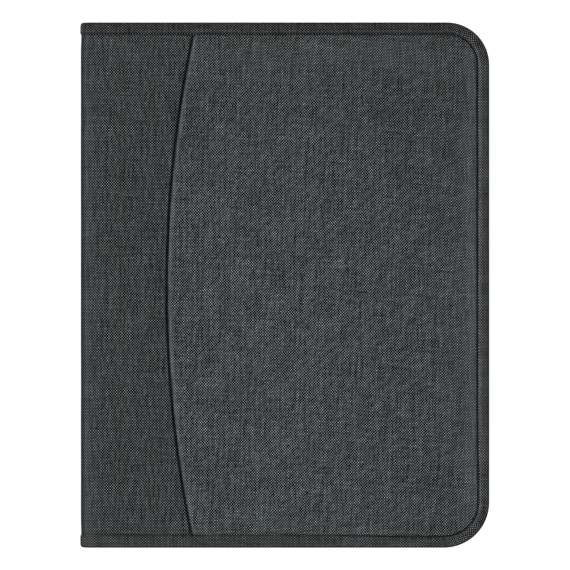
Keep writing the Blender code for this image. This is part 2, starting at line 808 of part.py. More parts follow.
def ring_half_mesh(side, y):
    """Half a ring: a bent wire from the middle of the opening down to its blade, cut off just above it."""
    first = math.asin(RING_TIP_GAP / 2 / RING_RADIUS)
    last = math.pi - math.asin(RING_END_LATERAL / RING_RADIUS)
    rings = []
    for step in range(RING_STEPS + 1):
        turn = first + (last - first) * step / RING_STEPS
        ring = []
        for corner in range(RING_SIDES):
            around = 2 * math.pi * corner / RING_SIDES
            reach = RING_RADIUS + RING_WIRE / 2 * math.cos(around)
            lateral = side * reach * math.sin(turn)
            height = RING_MIDDLE_HEIGHT + reach * math.cos(turn)
            ring.append(mechanism(lateral, height, y + RING_WIRE / 2 * math.sin(around)))
        rings.append(ring)
    mesh = solid(rings)
    off = BLADE / 2 + GAP
    pivot = mechanism(side * BLADE_PIVOT_LATERAL, BLADE_PIVOT_HEIGHT, y)
    up = Vector((math.cos(BLADE_TILT), 0, -side * math.sin(BLADE_TILT)))
    cut = bmesh.ops.bisect_plane(
        mesh,
        geom=list(mesh.verts) + list(mesh.edges) + list(mesh.faces),
        plane_co=Vector(pivot) + up * off,
        plane_no=-up,
        clear_outer=True,
    )
    edges = [item for item in cut["geom_cut"] if isinstance(item, bmesh.types.BMEdge)]
    bmesh.ops.holes_fill(mesh, edges=edges)
    bmesh.ops.recalc_face_normals(mesh, faces=mesh.faces)
    return mesh


def add_ring_banks():
    for side, name in ((1, "front"), (-1, "back")):
        body = "ring_bank_" + name
        blade = add("ring_blade_" + name, blade_mesh(side), "nickel_steel", body)
        notches = []
        for end in (-1, 1):
            place = mechanism(0, BLADE_PIVOT_HEIGHT, end * RIVET_SPACING / 2)
            notches.append(cylinder(place, 0, HOUSING_CROWN_HEIGHT, BLADE_NOTCH_RADIUS))
        boolean(blade, joined(*notches), "DIFFERENCE", "blade_notches_" + name)
        for i, y in enumerate(ring_places()):
            node = f"ring_{name}_{i + 1}"
            add(node, ring_half_mesh(side, y), "nickel_steel", body, smooth=True)


def add_levers():
    """A lever at each end: a pad for the finger, a barrel on a pin, and a fork that holds the blades."""
    for end, name in ((1, "top"), (-1, "bottom")):
        body = "lever_" + name
        pin_y = end * LEVER_PIN_Y
        pin = mechanism(0, LEVER_PIN_HEIGHT, pin_y)
        barrel = cylinder(pin, 2, LEVER_HALF_WIDTH, LEVER_BARREL_RADIUS)
        lever = add("lever_" + name, barrel, "nickel_steel", body)
        pad_outline = rounded_rectangle(
            -LEVER_PAD_HALF_WIDTH,
            LEVER_PAD_HALF_WIDTH,
            LEVER_PIN_HEIGHT,
            LEVER_PIN_HEIGHT + LEVER_HEIGHT,
            LEVER_BARREL_RADIUS / 2,
        )
        pad = solid(
            [
                [mechanism(lateral, height, pin_y + out) for lateral, height in pad_outline]
                for out in (-LEVER_PLATE / 2, LEVER_PLATE / 2)
            ]
        )
        boolean(lever, pad, "UNION", f"lever_{name}_pad")
        above = GAP + LEVER_FINGER + LEVER_FINGER_OPENING
        for low, label in ((GAP, "low"), (above, "high")):
            y0, y1 = sorted((pin_y, pin_y - end * LEVER_FINGER_REACH))
            finger = block(
                mechanism(-LEVER_FINGER_HALF_WIDTH, low, y0),
                mechanism(LEVER_FINGER_HALF_WIDTH, low + LEVER_FINGER, y1),
            )
            boolean(lever, finger, "UNION", f"lever_{name}_{label}_finger")
        reach = LEVER_HALF_WIDTH + CUT_THROUGH
        bore = cylinder(pin, 2, reach, LEVER_PIN_RADIUS + BORE_CLEARANCE)
        boolean(lever, bore, "DIFFERENCE", f"lever_{name}_bore")
        pin_mesh = cylinder(pin, 2, LEVER_PIN_HALF_LENGTH, LEVER_PIN_RADIUS)
        add("lever_pin_" + name, pin_mesh, "nickel_steel", "spine", smooth=True)


# Zip slider, pull and end pieces

CHANNEL_HALF = COIL_THICKNESS / 2 + SLIDER_CLEARANCE
PLATE_OUTER_INSET = COIL_INSET - CHANNEL_HALF - SLIDER_PLATE
PULL_INSET = PLATE_OUTER_INSET - PULL_PLAY - PULL_THICKNESS / 2
BAIL_OPENING_INSET = PULL_INSET - PULL_THICKNESS / 2 - PULL_PLAY
SLIDER_HALF_WIDTH = COIL_FROM_MIDDLE + COIL_WIDTH + SLIDER_CLEARANCE + SLIDER_FLANGE
BACK_CHAIN_START = WALL_START + END_CAP_LENGTH + STOP_LENGTH
SLIDER_X = BACK_CHAIN_START + SLIDER_LENGTH / 2 + SLIDER_FROM_STOP
FRONT_CHAIN_START = SLIDER_X + SLIDER_LENGTH / 2 + FRONT_CHAIN_GAP


def on_top_wall(x, inset, from_middle):
    return (x, CASE_HEIGHT / 2 - inset, MIDDLE + from_middle)


def half_slider(towards_pages):
    """One plate of the slider with its two curled flanges, narrower at the closed end of the chain."""
    sign = 1 if towards_pages else -1
    flange_in = TAPE_SLOT / 2
    outer = CHANNEL_HALF + SLIDER_PLATE
    rings = []
    for x, narrow in (
        (SLIDER_X - SLIDER_LENGTH / 2, 0),
        (SLIDER_X, 0),
        (SLIDER_X + SLIDER_LENGTH / 2, SLIDER_TAPER),
    ):
        wide = SLIDER_HALF_WIDTH
        inner = wide - SLIDER_FLANGE
        plate = wide - narrow
        profile = [
            (outer, -plate),
            (outer, plate),
            (CHANNEL_HALF, wide),
            (flange_in, wide),
            (flange_in, inner),
            (CHANNEL_HALF, inner),
            (CHANNEL_HALF, -inner),
            (flange_in, -inner),
            (flange_in, -wide),
            (CHANNEL_HALF, -wide),
        ]
        rings.append(
            [on_top_wall(x, COIL_INSET + sign * away, across) for away, across in profile]
        )
    return solid(rings)


def add_slider():
    slider = add("zip_slider", half_slider(False), "zip_metal", "slider")
    boolean(slider, half_slider(True), "UNION", "slider_inner_plate")
    neck_x = SLIDER_X - SLIDER_LENGTH / 2
    reach = CHANNEL_HALF + SLIDER_PLATE / 2
    low = on_top_wall(neck_x, COIL_INSET + reach, -SLIDER_NECK_WIDTH / 2)
    high = on_top_wall(
        neck_x + SLIDER_NECK_LENGTH, COIL_INSET - reach, SLIDER_NECK_WIDTH / 2
    )
    boolean(slider, block(low, high), "UNION", "slider_neck")
    leg = BAIL_LENGTH / 2
    opening = leg - BAIL_LEG
    foot = PLATE_OUTER_INSET + SLIDER_PLATE / 2
    top = BAIL_OPENING_INSET - BAIL_BAR
    slope = BAIL_BAR
    arch = [
        (-leg, foot),
        (-leg, top + slope),
        (-leg + slope, top),
        (leg - slope, top),
        (leg, top + slope),
        (leg, foot),
        (opening, foot),
        (opening, BAIL_OPENING_INSET),
        (-opening, BAIL_OPENING_INSET),
        (-opening, foot),
    ]
    bail = solid(
        [
            [on_top_wall(SLIDER_X + along, inset, across) for along, inset in arch]
            for across in (-BAIL_WIDTH / 2, BAIL_WIDTH / 2)
        ]
    )
    boolean(slider, bail, "UNION", "slider_bail")


def add_pull():
    """The flat pull: a window round the slider's bail, two arms and a tab with a small hole."""
    bar = PULL_THICKNESS / 2
    half = PULL_WIDTH / 2
    tab = rounded_rectangle(-bar, PULL_LENGTH, -half, half, half * 0.45)
    mesh = solid(
        [
            [on_top_wall(SLIDER_X + along, inset, across) for along, across in tab]
            for inset in (PULL_INSET - bar, PULL_INSET + bar)
        ]
    )
    pull = add("zip_pull", mesh, "zip_metal", "pull")
    cut = PULL_THICKNESS
    window = block(
        on_top_wall(SLIDER_X + bar, PULL_INSET + cut, -half + PULL_ARM),
        on_top_wall(SLIDER_X + PULL_NECK, PULL_INSET - cut, half - PULL_ARM),
    )
    boolean(pull, window, "DIFFERENCE", "pull_window")
    hole_x = SLIDER_X + PULL_LENGTH - half
    hole = cylinder(on_top_wall(hole_x, PULL_INSET, 0), 1, cut, PULL_HOLE)
    boolean(pull, hole, "DIFFERENCE", "pull_hole")


def clip(x0, x1, y_side, from_middle_low, from_middle_high):
    """A block round the edge of the tape, on the top wall (+1) or the bottom wall (-1)."""
    reach = COIL_THICKNESS / 2 + STOP_WALL
    y0, y1 = sorted(
        y_side * (CASE_HEIGHT / 2 - inset) for inset in (COIL_INSET - reach, COIL_INSET + reach)
    )
    return block(
        (x0, y0, MIDDLE + from_middle_low), (x1, y1, MIDDLE + from_middle_high)
    )


def add_zip_ends():
    far = COIL_FROM_MIDDLE + COIL_WIDTH
    stop_end = BACK_CHAIN_START - GAP
    low = clip(stop_end - STOP_LENGTH, stop_end, 1, -far, -COIL_FROM_MIDDLE)
    add("zip_top_stop", low, "zip_metal", "back_cover")
    high = clip(stop_end - STOP_LENGTH, stop_end, -1, -far, COIL_FROM_MIDDLE - GAP)
    add("zip_bottom_stop", high, "zip_metal", "back_cover")
    wall_end = -GUSSET_FROM_MIDDLE + GAP
    for end, name in ((1, "top"), (-1, "bottom")):
        y0, y1 = sorted(
            end * (CASE_HEIGHT / 2 - inset) for inset in (WALL_INSET, WALL_INSET + END_CAP)
        )
        cap = block(
            (WALL_START, y0, MIDDLE + wall_end),
            (WALL_START + END_CAP_LENGTH - 2 * GAP, y1, MIDDLE - COIL_FROM_MIDDLE),
        )
        add("zip_end_cap_" + name, cap, "binding_tape", "back_cover")


# Pockets and loops inside the covers


def inner_outline(start, top):
    """A sheet that follows the cover's outline at the fore edge and the bottom, up to a straight top."""
    inset = BOARD_INSET + INNER_EDGE_MARGIN
    points = [at_inset(place, inset) for place in stations(start)]
    low = [point for point in points if point[1] < top]
    fore_x = CASE_WIDTH / 2 - inset
    return [(start, top), (fore_x, top)] + [point for point in low if point[1] < 0]


def add_inner_pockets():
    first = PANEL + GAP
    start = HINGE_X + SLEEVE_START
    sleeve = flat_plate(inner_outline(start, SLEEVE_TOP), first, INNER_SHEET, "back")
    add("pad_sleeve", sleeve, "lining", "back_cover")
    pocket = inner_outline(start, DOCUMENT_POCKET_TOP)
    add(
        "document_pocket",
        flat_plate(pocket, first, INNER_SHEET, "front"),
        "lining",
        "front_cover",
    )
    for i in range(CARD_SLOT_COUNT):
        height = CARD_SLOT_HEIGHT + CARD_SLOT_STEP * (CARD_SLOT_COUNT - 1 - i)
        sheet = rounded_rectangle(
            CARD_SLOT_X,
            CARD_SLOT_X + CARD_SLOT_WIDTH,
            CARD_SLOT_Y,
            CARD_SLOT_Y + height,
            PANEL_CORNER,
        )
        depth = first + i * (INNER_SHEET + GAP)
        plate = flat_plate(sheet, depth, INNER_SHEET, "front")
        add(f"card_slot_{i + 1}", plate, "lining", "front_cover")
    phone = rounded_rectangle(
        PHONE_POCKET_X,
        PHONE_POCKET_X + PHONE_POCKET_WIDTH,
        CARD_SLOT_Y,
        CARD_SLOT_Y + PHONE_POCKET_HEIGHT,
        PANEL_CORNER,
    )
    plate = flat_plate(phone, first, INNER_SHEET, "front")
    add("phone_pocket", plate, "lining", "front_cover")


def add_pen_loops():
    """Elastic loops on the front cover's lining, side by side near the fore edge."""
    radius = PEN_LOOP_BORE / 2
    centre_z = cover_z(PANEL + GAP + PEN_LOOP_WALL + radius, "front")
    for i in range(PEN_LOOP_COUNT):
        x = PEN_LOOP_X + PEN_LOOP_PITCH * i
        rings = []
        for step in range(PEN_LOOP_STEPS):
            turn = 2 * math.pi * step / PEN_LOOP_STEPS
            rings.append(
                [
                    (x + reach * math.cos(turn), y, centre_z + reach * math.sin(turn))
                    for reach, y in (
                        (radius, PEN_LOOP_Y),
                        (radius + PEN_LOOP_WALL, PEN_LOOP_Y),
                        (radius + PEN_LOOP_WALL, PEN_LOOP_Y + PEN_LOOP_LENGTH),
                        (radius, PEN_LOOP_Y + PEN_LOOP_LENGTH),
                    )
                ]
            )
        mesh = solid(rings, cyclic=True)
        add(f"pen_loop_{i + 1}", mesh, "elastic", "front_cover", smooth=True)


bodies = {}
body_places = {}


def main():
    clear_scene()
    add_bodies()
    add_cover("back", BACK_CHAIN_START)
    add_cover("front", FRONT_CHAIN_START)
    add_front_pocket()
    add_spine()
    add_hinges()
    add_housing()
    add_rivets()
    add_ring_banks()
    add_levers()
    add_slider()
    add_pull()
    add_zip_ends()
    add_inner_pockets()
    add_pen_loops()


main()
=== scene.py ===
"""Looks of a zippered ring binder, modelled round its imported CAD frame.

Metres, +Z up, in the frame's own axes: spine at -X, head of the page at +Y, front cover at +Z.

Covers and spine are modelled as if the case were opened out flat and then folded. "Along" is the distance
from the hinge line towards the fore edge; below zero it goes round the hinge and on to the middle of the
spine. "Rise" is the height over the outer face, and below zero the depth towards the pages. "Inset" is the
distance inwards from the outer edge.
"""

import json
import math

import bmesh
import bpy
import numpy as np
from mathutils import Matrix, Vector, noise

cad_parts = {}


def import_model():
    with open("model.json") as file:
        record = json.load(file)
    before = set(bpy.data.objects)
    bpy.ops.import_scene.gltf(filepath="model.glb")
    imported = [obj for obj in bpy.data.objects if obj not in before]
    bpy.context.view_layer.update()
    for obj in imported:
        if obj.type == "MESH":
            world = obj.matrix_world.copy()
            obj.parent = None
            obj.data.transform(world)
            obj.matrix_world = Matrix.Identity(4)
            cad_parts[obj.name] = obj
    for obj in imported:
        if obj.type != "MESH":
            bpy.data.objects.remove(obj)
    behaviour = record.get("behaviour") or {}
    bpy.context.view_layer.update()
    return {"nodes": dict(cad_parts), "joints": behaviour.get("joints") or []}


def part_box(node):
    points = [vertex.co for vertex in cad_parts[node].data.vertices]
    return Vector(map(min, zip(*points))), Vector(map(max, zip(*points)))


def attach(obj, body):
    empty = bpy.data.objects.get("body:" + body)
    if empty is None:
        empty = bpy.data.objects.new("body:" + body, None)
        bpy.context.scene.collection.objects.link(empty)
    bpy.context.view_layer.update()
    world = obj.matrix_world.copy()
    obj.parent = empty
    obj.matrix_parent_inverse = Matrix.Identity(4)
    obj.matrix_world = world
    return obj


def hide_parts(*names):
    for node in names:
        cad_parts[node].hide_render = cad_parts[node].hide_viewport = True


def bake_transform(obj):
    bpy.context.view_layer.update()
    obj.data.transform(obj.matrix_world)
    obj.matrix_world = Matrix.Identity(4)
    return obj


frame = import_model()
joints = {joint["name"]: joint for joint in frame["joints"]}

# Sizes read from the frame
HINGE_X = joints["front_fold"]["pos_m"][0]
CASE_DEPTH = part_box("front_outer_fabric")[1][2]
MIDDLE = CASE_DEPTH / 2
HINGE_RADIUS = HINGE_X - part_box("spine_outer_fabric")[0][0]
HINGE_ARC = HINGE_RADIUS * math.pi / 2
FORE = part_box("front_binding")[1][0] - HINGE_X
HALF_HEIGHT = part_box("front_binding")[1][1]
SPINE_MIDDLE = -HINGE_ARC - (MIDDLE - HINGE_RADIUS)
LINING_FACE = CASE_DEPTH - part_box("front_lining")[0][2]
SPINE_LINING_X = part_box("spine_lining")[1][0]
WALL_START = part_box("back_gusset")[0][0] - HINGE_X
CHAIN_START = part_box("back_zip_teeth")[0][0] - HINGE_X
SLIDER_GAP = 0.0006
FRONT_CHAIN_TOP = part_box("zip_slider")[1][0] + SLIDER_GAP - HINGE_X

# Cover outline and its padded edges
HEAD_CORNER_RADIUS = 0.0283
FOOT_CORNER_RADIUS = 0.0303
CORNER_STEPS = 26
ROW_STEPS = 96
EDGE_STEP = 0.0022
PANEL_INSET = 0.0083
FOOT_EXTRA = 0.0006
FORE_FOOT_LESS = 0.0007
ROLL_WIDTH = 0.0013
SPINE_ROLL_RUN = 0.02
FORE_ROLL_DEPTH = 0.0023
END_ROLL_DEPTH = 0.0013
SPINE_ROLL_SHARE = 0.2
SKIN_THICKNESS = 0.0004
NOMINAL_WIDTH = 0.2

# Keeps two faces out of one plane
HAIRBREADTH = 0.00002

# Padding between the seams, swelled by a cloth simulation
PAD_CELL = 0.0035
PAD_FRAMES = 20
PAD_PRESSURE = 1.0
PAD_SLACK = 0.003
PAD_SEAM = 0.002
PAD_UNEVENNESS = 0.00002
PAD_SHARE = 0.5
FRONT_SWELL = 0.0009
BACK_SWELL = 0.00012
HEM_SWELL = 0.00025
SPINE_SIDE_FADE = 0.022
SPINE_SWELL = 0.00028
SPINE_SWELL_RUN = 0.007
SPINE_SWELL_END = 0.012
PANEL_WAVINESS = 0.00010

# Front slip pocket: its open edge is an arc, the main fabric dips under it, and its threads run askew
ARC_MIDDLE_X = -0.0781
ARC_MIDDLE_Y = -0.0024
ARC_RADIUS = 0.8220
POCKET_RISE = 0.0012
HEM_RADIUS = 0.00070
HEM_GAP = 0.0011
POCKET_LESS_DEEP = 0.0004
POCKET_FILL = 0.0007
GRAIN_SKEW_X = 0.040
GRAIN_SKEW_Y = 0.0546
GRAIN_BOW = 0.155
TROUGH_ROLL = 0.0012
TROUGH_DEPTH = 0.00205

# Binding tape
BAND = 0.0076
BAND_END_EXTRA = 0.0003
BAND_WAVER = 0.00012
BAND_THICKNESS = 0.0008
BAND_UNDERSIDE = 0.0042
BAND_STITCH_INSET = BAND - 0.0017
SPINE_BAND_LIFT = 0.00065

# Side walls and zip, as insets from the cover's edge and distances from the middle of the depth
WALL_INSET = 0.0078
WALL_EDGE = 0.0085
WALL_THICKNESS = 0.0008
SPINE_LINING_INSET = 0.00792
ZIP_TAPE_INSET = WALL_INSET + 0.0011
ZIP_TAPE_THICKNESS = 0.0006
CHAIN_INSET = 0.0092
TOOTH_PITCH = 0.00142
TOOTH_ROOT = 0.0034
TOOTH_OVERLAP = 0.0004
TOOTH_HEIGHT = 0.0022
CORD_INSET = CHAIN_INSET - 0.0010
CORD_FROM_MIDDLE = 0.0024
CORD_THICK = 0.00022
CORD_WIDE = 0.00042
CORD_SWELL = 0.00010

# Lining and the pockets sewn on it
LINING_THICKNESS = 0.00045
LINING_WAVINESS = 0.00008
INNER_CLOTH_THICKNESS = 0.00045
INNER_SEAM = 0.0014
TRIM_HALF_WIDTH = 0.0028
TRIM_HALF_THICKNESS = 0.00048

# Stitches
STITCH_LENGTH = 0.0024
STITCH_PITCH = 0.0031
STITCH_WIDTH = 0.00042
STITCH_HEIGHT = 0.00030
END_CAP_PITCH = 0.0018
INNER_POCKET_PITCH = 0.0034
TRIM_PITCH = 0.0026
PEN_LOOP_PITCH = 0.0022

# Ring mechanism
RING_PLACES = (-0.12, -0.04, 0.04, 0.12)
RING_WIRE = 0.0013
RING_RADIUS = 0.0113
RING_MIDDLE_HEIGHT = 0.0128
RING_END_LATERAL = 0.0047
RING_TIP_GAP = 0.0003
HOUSING_LOW = 0.0003
HOUSING_SHEET = 0.0008
HOUSING_CUT_TOP = 0.0100
NOTCH_NEAR = 0.0048
NOTCH_FAR = 0.0135
NOTCH_HALF_WIDTH = 0.0019
ROUND_STEPS = 28

# Weave: how the yarns cross, how their lightness and relief vary, and the painted shade down each yarn's
# sides
YARN_DIP = 0.8
LANE_SPREAD = 3.71
STREAK_STRETCH = 0.045
TWIST_SLANT = 2.2
TWIST_FIBRES = 8.0
TWIST_STRETCH = 1.3
LEAST_SHADE = 0.1
COLUMN_STRENGTH = 7.2
STREAK_STRENGTH = 5.2
KNUCKLE_RANGE = 0.8
KNUCKLE_STRENGTH = 2.0
# How deep the painted shade down a yarn's sides is where the cloth is stretched, and how that shade darkens a
# yarn's mean
SOFT_DEPTH = 0.5
DEPTH_DARKENS = 0.55
STRAND_RANGE = (0.70, 1.30)
TONE_RANGE = (0.96, 1.04)
FIBRE_RELIEF = 0.12
RELIEF_SHARE = 0.3

# Painted on the cloth: where, as places along, and how much, as shares of its own tone and evenness.
# Most tone shares are painted light and shade: shade on the hinges' outer side, in the grooves, under the
# pocket's hem and on the binding's rim, light on the pocket and on the binding's fold
FORE_SIDE = 0.1
POCKET_MIDDLE = 0.125
POCKET_HALF_WIDTH = 0.10
HINGE_EVENER = 0.35
HINGE_PAINTED_SHADE = 0.50
TROUGH_PAINTED_SHADE = 0.5
POCKET_PAINTED_LIGHT = 0.185
POCKET_MIDDLE_LIGHT_AND_TONE = 0.10
POCKET_HEAD_SHADE_AND_TONE = 0.12
HEM_LIGHTER = 0.16
HEM_EVENER = 0.45
UNDER_HEM_PAINTED_SHADE = 0.7
FORE_LIGHTER = 0.10
FORE_EVENER = 0.25
SEAM_PAINTED_SHADE = 0.1
FORE_SEAM_PAINTED_SHADE = 0.6
BAND_FOLD_PAINTED_HIGHLIGHT = 1.6
BAND_FOLD_EVENER = 0.12
BAND_RIM_PAINTED_SHADE = 0.7
BAND_RIM_EVENER = 0.1
BAND_SEAM_PAINTED_SHADE = 0.3
BAND_FORE_SEAM_PAINTED_SHADE = 0.5

# The binding's red, green and blue: how much each gains at the head and at the foot
BAND_TINTS = ((-0.06, 0.05), (-0.17, 0.0), (-0.14, 0.03))

# Stage
FLOOR_Z = -0.0002
FLOOR_GREY = 0.45
FLOOR_GLOW = 0.80
WORLD_LEVEL = 0.48

# Photograph's view
PIXELS = 570
METRES_PER_PIXEL = 0.0006659
PHOTO_MIDDLE_X = 285.15
PHOTO_MIDDLE_Y = 285.1
CAMERA_HEIGHT = 3.6
SENSOR_MM = 36.0


# Building meshes


def finished(name, mesh, material, smooth=True, sharp=35):
    """Puts a mesh in the scene as a piece at the origin."""
    mesh.name = name
    if smooth:
        mesh.shade_smooth()
        mesh.set_sharp_from_angle(angle=math.radians(sharp))
    piece = bpy.data.objects.new(name, mesh)
    bpy.context.scene.collection.objects.link(piece)
    piece.data.materials.clear()
    piece.data.materials.append(material)
    return piece


def outward(mesh):
    """Turns a closed mesh's faces to the outside."""
    work = bmesh.new()
    work.from_mesh(mesh)
    bmesh.ops.remove_doubles(work, verts=work.verts, dist=1e-7)
    bmesh.ops.recalc_face_normals(work, faces=work.faces)
    work.to_mesh(mesh)
    work.free()
    return mesh


def mesh_of(points, faces, corner_uvs):
    """A mesh with its faces turned outwards. UVs, if given, are in metres, for each corner of each face."""
    mesh = bpy.data.meshes.new("piece")
    mesh.from_pydata([tuple(point) for point in points], [], faces)
    if corner_uvs is not None:
        layer = mesh.uv_layers.new(name="cloth")
        layer.data.foreach_set("uv", np.asarray(corner_uvs, np.float32).ravel())
    return outward(mesh)


def tube_mesh(rows, uv_rows=None, ends=True):
    """A closed mesh through rings of points. A UV row has one entry more than its ring.

    Without ends it is a closed loop: the last ring repeats the first, and is merged with it."""
    count, across = len(rows), len(rows[0])
    points = [point for row in rows for point in row]
    faces, uvs = [], []
    for i in range(count - 1):
        for j in range(across):
            k = (j + 1) % across
            faces.append((i * across + j, i * across + k, (i + 1) * across + k, (i + 1) * across + j))
            if uv_rows:
                uvs += [uv_rows[i][j], uv_rows[i][j + 1], uv_rows[i + 1][j + 1], uv_rows[i + 1][j]]
    for i in (0, count - 1) if ends else ():
        faces.append(tuple(i * across + j for j in range(across)))
        if uv_rows:
            uvs += [uv_rows[i][j] for j in range(across)]
    return mesh_of(points, faces, uvs if uv_rows else None)


def layered_mesh(over, under, uv_rows):
    """A closed sheet between two grids of points that have the same rows and columns."""
    count, across = len(over), len(over[0])
    points = [point for row in over for point in row] + [point for row in under for point in row]
    below = count * across
    faces, uvs = [], []

    def quad(spots):
        faces.append(tuple(i * across + j + layer * below for i, j, layer in spots))
        uvs.extend(uv_rows[i][j] for i, j, _ in spots)

    for layer in (0, 1):
        for i in range(count - 1):
            for j in range(across - 1):
                quad([(i, j, layer), (i, j + 1, layer), (i + 1, j + 1, layer), (i + 1, j, layer)])
    for i in (0, count - 1):
        for j in range(across - 1):
            quad([(i, j, 0), (i, j + 1, 0), (i, j + 1, 1), (i, j, 1)])
    for j in (0, across - 1):
        for i in range(count - 1):
            quad([(i, j, 0), (i + 1, j, 0), (i + 1, j, 1), (i, j, 1)])
    return mesh_of(points, faces, uvs)


def wave(*spot, size, amount):
    """Smooth chance variation over a distance, always the same at the same spot."""
    return amount * noise.noise(Vector((*spot, 0, 0)[:3]) / size)


def smooth_step(value):
    """Goes from 0 to 1 as the value does, with a soft start and end."""
    value = min(1.0, max(0.0, value))
    return value * value * (3 - 2 * value)


def fade(value, start, width):
    """Goes smoothly from 0 at a start to 1 a width beyond it."""
    return smooth_step((value - start) / width)


def even_steps(low, high, count):
    """Places from low to high in equal steps, with both ends."""
    return [low + (high - low) * i / count for i in range(count + 1)]


def quarter_round(share):
    """Height of a quarter circle, from 0 at its foot to 1 at its top, for a share of its width."""
    share = min(1.0, max(0.0, share))
    return math.sqrt(1 - (1 - share) ** 2)


def corners(node):
    """A CAD node's low and high corner."""
    return (Vector(corner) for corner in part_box(node))


def tag(piece, name, values):
    """Stores a number for each vertex, which the piece's material reads."""
    attribute = piece.data.attributes.new(name, "FLOAT", "POINT")
    attribute.data.foreach_set("value", np.asarray(values, np.float32))


# The case opened out flat


def place(along, y, rise, cover):
    """Folds a point of the opened-out case to where it is on the closed one."""
    reach = HINGE_RADIUS + rise
    if along >= 0:
        x, up = HINGE_X + along, reach
    elif along > -HINGE_ARC:
        turn = -along / HINGE_RADIUS
        x, up = HINGE_X - reach * math.sin(turn), reach * math.cos(turn)
    else:
        x, up = HINGE_X - reach, along + HINGE_ARC
    z = CASE_DEPTH - HINGE_RADIUS + up
    return (x, y, z if cover == "front" else CASE_DEPTH - z)


def edge_at(along, y):
    """Distance in from the nearest free edge, and how far the way out points to the head (1) or foot (-1)."""
    radius = HEAD_CORNER_RADIUS if y > 0 else FOOT_CORNER_RADIUS
    over = along - (FORE - radius)
    above = abs(y) - (HALF_HEIGHT - radius)
    if over > 0 and above > 0:
        reach = math.hypot(over, above)
        return radius - reach, math.copysign(above / reach, y)
    if FORE - along < HALF_HEIGHT - abs(y):
        return FORE - along, 0.0
    return HALF_HEIGHT - abs(y), math.copysign(1.0, y)


def edge_stations(start, step=EDGE_STEP):
    """Places round the three free edges, from the spine by the head, the fore edge and the foot.

    Each is a point of the edge, the way out of the cover there, and the distance travelled along the edge."""
    head, foot = HEAD_CORNER_RADIUS, FOOT_CORNER_RADIUS
    side = 2 * HALF_HEIGHT - head - foot
    head_run, foot_run = FORE - head - start, FORE - foot - start

    def corner(radius, end, out_along, out_y):
        return FORE - radius * (1 - out_along), end * HALF_HEIGHT - radius * (end - out_y), out_along, out_y

    def turned_out(t):
        return math.sin(t * math.pi / 2), math.cos(t * math.pi / 2)

    stretches = [
        (head_run, step, lambda t: (start + t * head_run, HALF_HEIGHT, 0.0, 1.0)),
        (head * math.pi / 2, None, lambda t: corner(head, 1, *turned_out(t))),
        (side, step, lambda t: (FORE, HALF_HEIGHT - head - t * side, 1.0, 0.0)),
        (foot * math.pi / 2, None, lambda t: corner(foot, -1, turned_out(t)[1], -turned_out(t)[0])),
        (foot_run, step, lambda t: (FORE - foot - t * foot_run, -HALF_HEIGHT, 0.0, -1.0)),
    ]
    stations, travelled = [], 0.0
    for length, pace, where in stretches:
        count = math.ceil(length / pace) if pace else max(CORNER_STEPS, math.ceil(length / step))
        stations += [(*where(i / count), travelled + length * i / count) for i in range(count)]
        travelled += length
    stations.append((*stretches[-1][2](1.0), travelled))
    return stations


def at_station(station, inset, rise, cover):
    """The point at an inset and a rise from a place on the edge."""
    along, y, out_along, out_y, _ = station
    return place(along - out_along * inset, y - out_y * inset, rise, cover)


def swept(profile_of, stations, cover):
    """A closed strip round the free edges. Its profile of (inset, rise) points may change on the way."""
    rows, uv_rows = [], []
    for station in stations:
        profile = profile_of(station)
        rows.append([at_station(station, inset, rise, cover) for inset, rise in profile])
        across = [0.0]
        for (i0, r0), (i1, r1) in zip(profile, profile[1:] + profile[:1]):
            across.append(across[-1] + math.hypot(i1 - i0, r1 - r0))
        uv_rows.append([(station[4], value) for value in across])
    return tube_mesh(rows, uv_rows)


def panel_rows(inset, top=1.0):
    """Rows across a cover, from the foot up to a top: each is its Y and where it ends at the fore edge."""
    turns = [math.pi / 2 * i / CORNER_STEPS for i in range(CORNER_STEPS, 0, -1)]
    right, foot, head = FORE - inset, FOOT_CORNER_RADIUS - inset, HEAD_CORNER_RADIUS - inset
    low_level, high_level = FOOT_CORNER_RADIUS - HALF_HEIGHT, HALF_HEIGHT - HEAD_CORNER_RADIUS
    rows = [(low_level - foot * math.sin(turn), right - foot * (1 - math.cos(turn))) for turn in turns]
    rows += [(y, right) for y in even_steps(low_level, high_level, ROW_STEPS)]
    rows += [
        (high_level + head * math.sin(turn), right - head * (1 - math.cos(turn))) for turn in reversed(turns)
    ]
    inside = [row for row in rows if row[0] < top]
    if top < rows[-1][0]:
        inside.append((top, right))
    return inside


def columns(left, right, near_left, near_right, spacing):
    """Places across one row: close together at both ends and evenly spaced between them."""
    first, last = left + near_left[-1], right - near_right[-1]
    count = max(2, math.ceil(NOMINAL_WIDTH / spacing))
    between = [first + (last - first) * i / count for i in range(1, count)]
    return [left + step for step in near_left] + between + [right - step for step in reversed(near_right)]


def cloth_grid(rows, columns_of, rise_of, thickness_of, cover):
    """The two faces of a sheet of cloth on a cover, its UVs and its flat area."""
    over, under, uv_rows, area = [], [], [], 0.0
    before = None
    for y, right in rows:
        places = columns_of(y, right)
        tops = [rise_of(along, y) for along in places]
        over.append([place(a, y, rise, cover) for a, rise in zip(places, tops)])
        under.append([place(a, y, rise - thickness_of(a, y), cover) for a, rise in zip(places, tops)])
        uv_rows.append([(along, y) for along in places])
        if before:
            area += (places[-1] - places[0] + before[1]) / 2 * (y - before[0])
        before = (y, places[-1] - places[0])
    return over, under, uv_rows, area


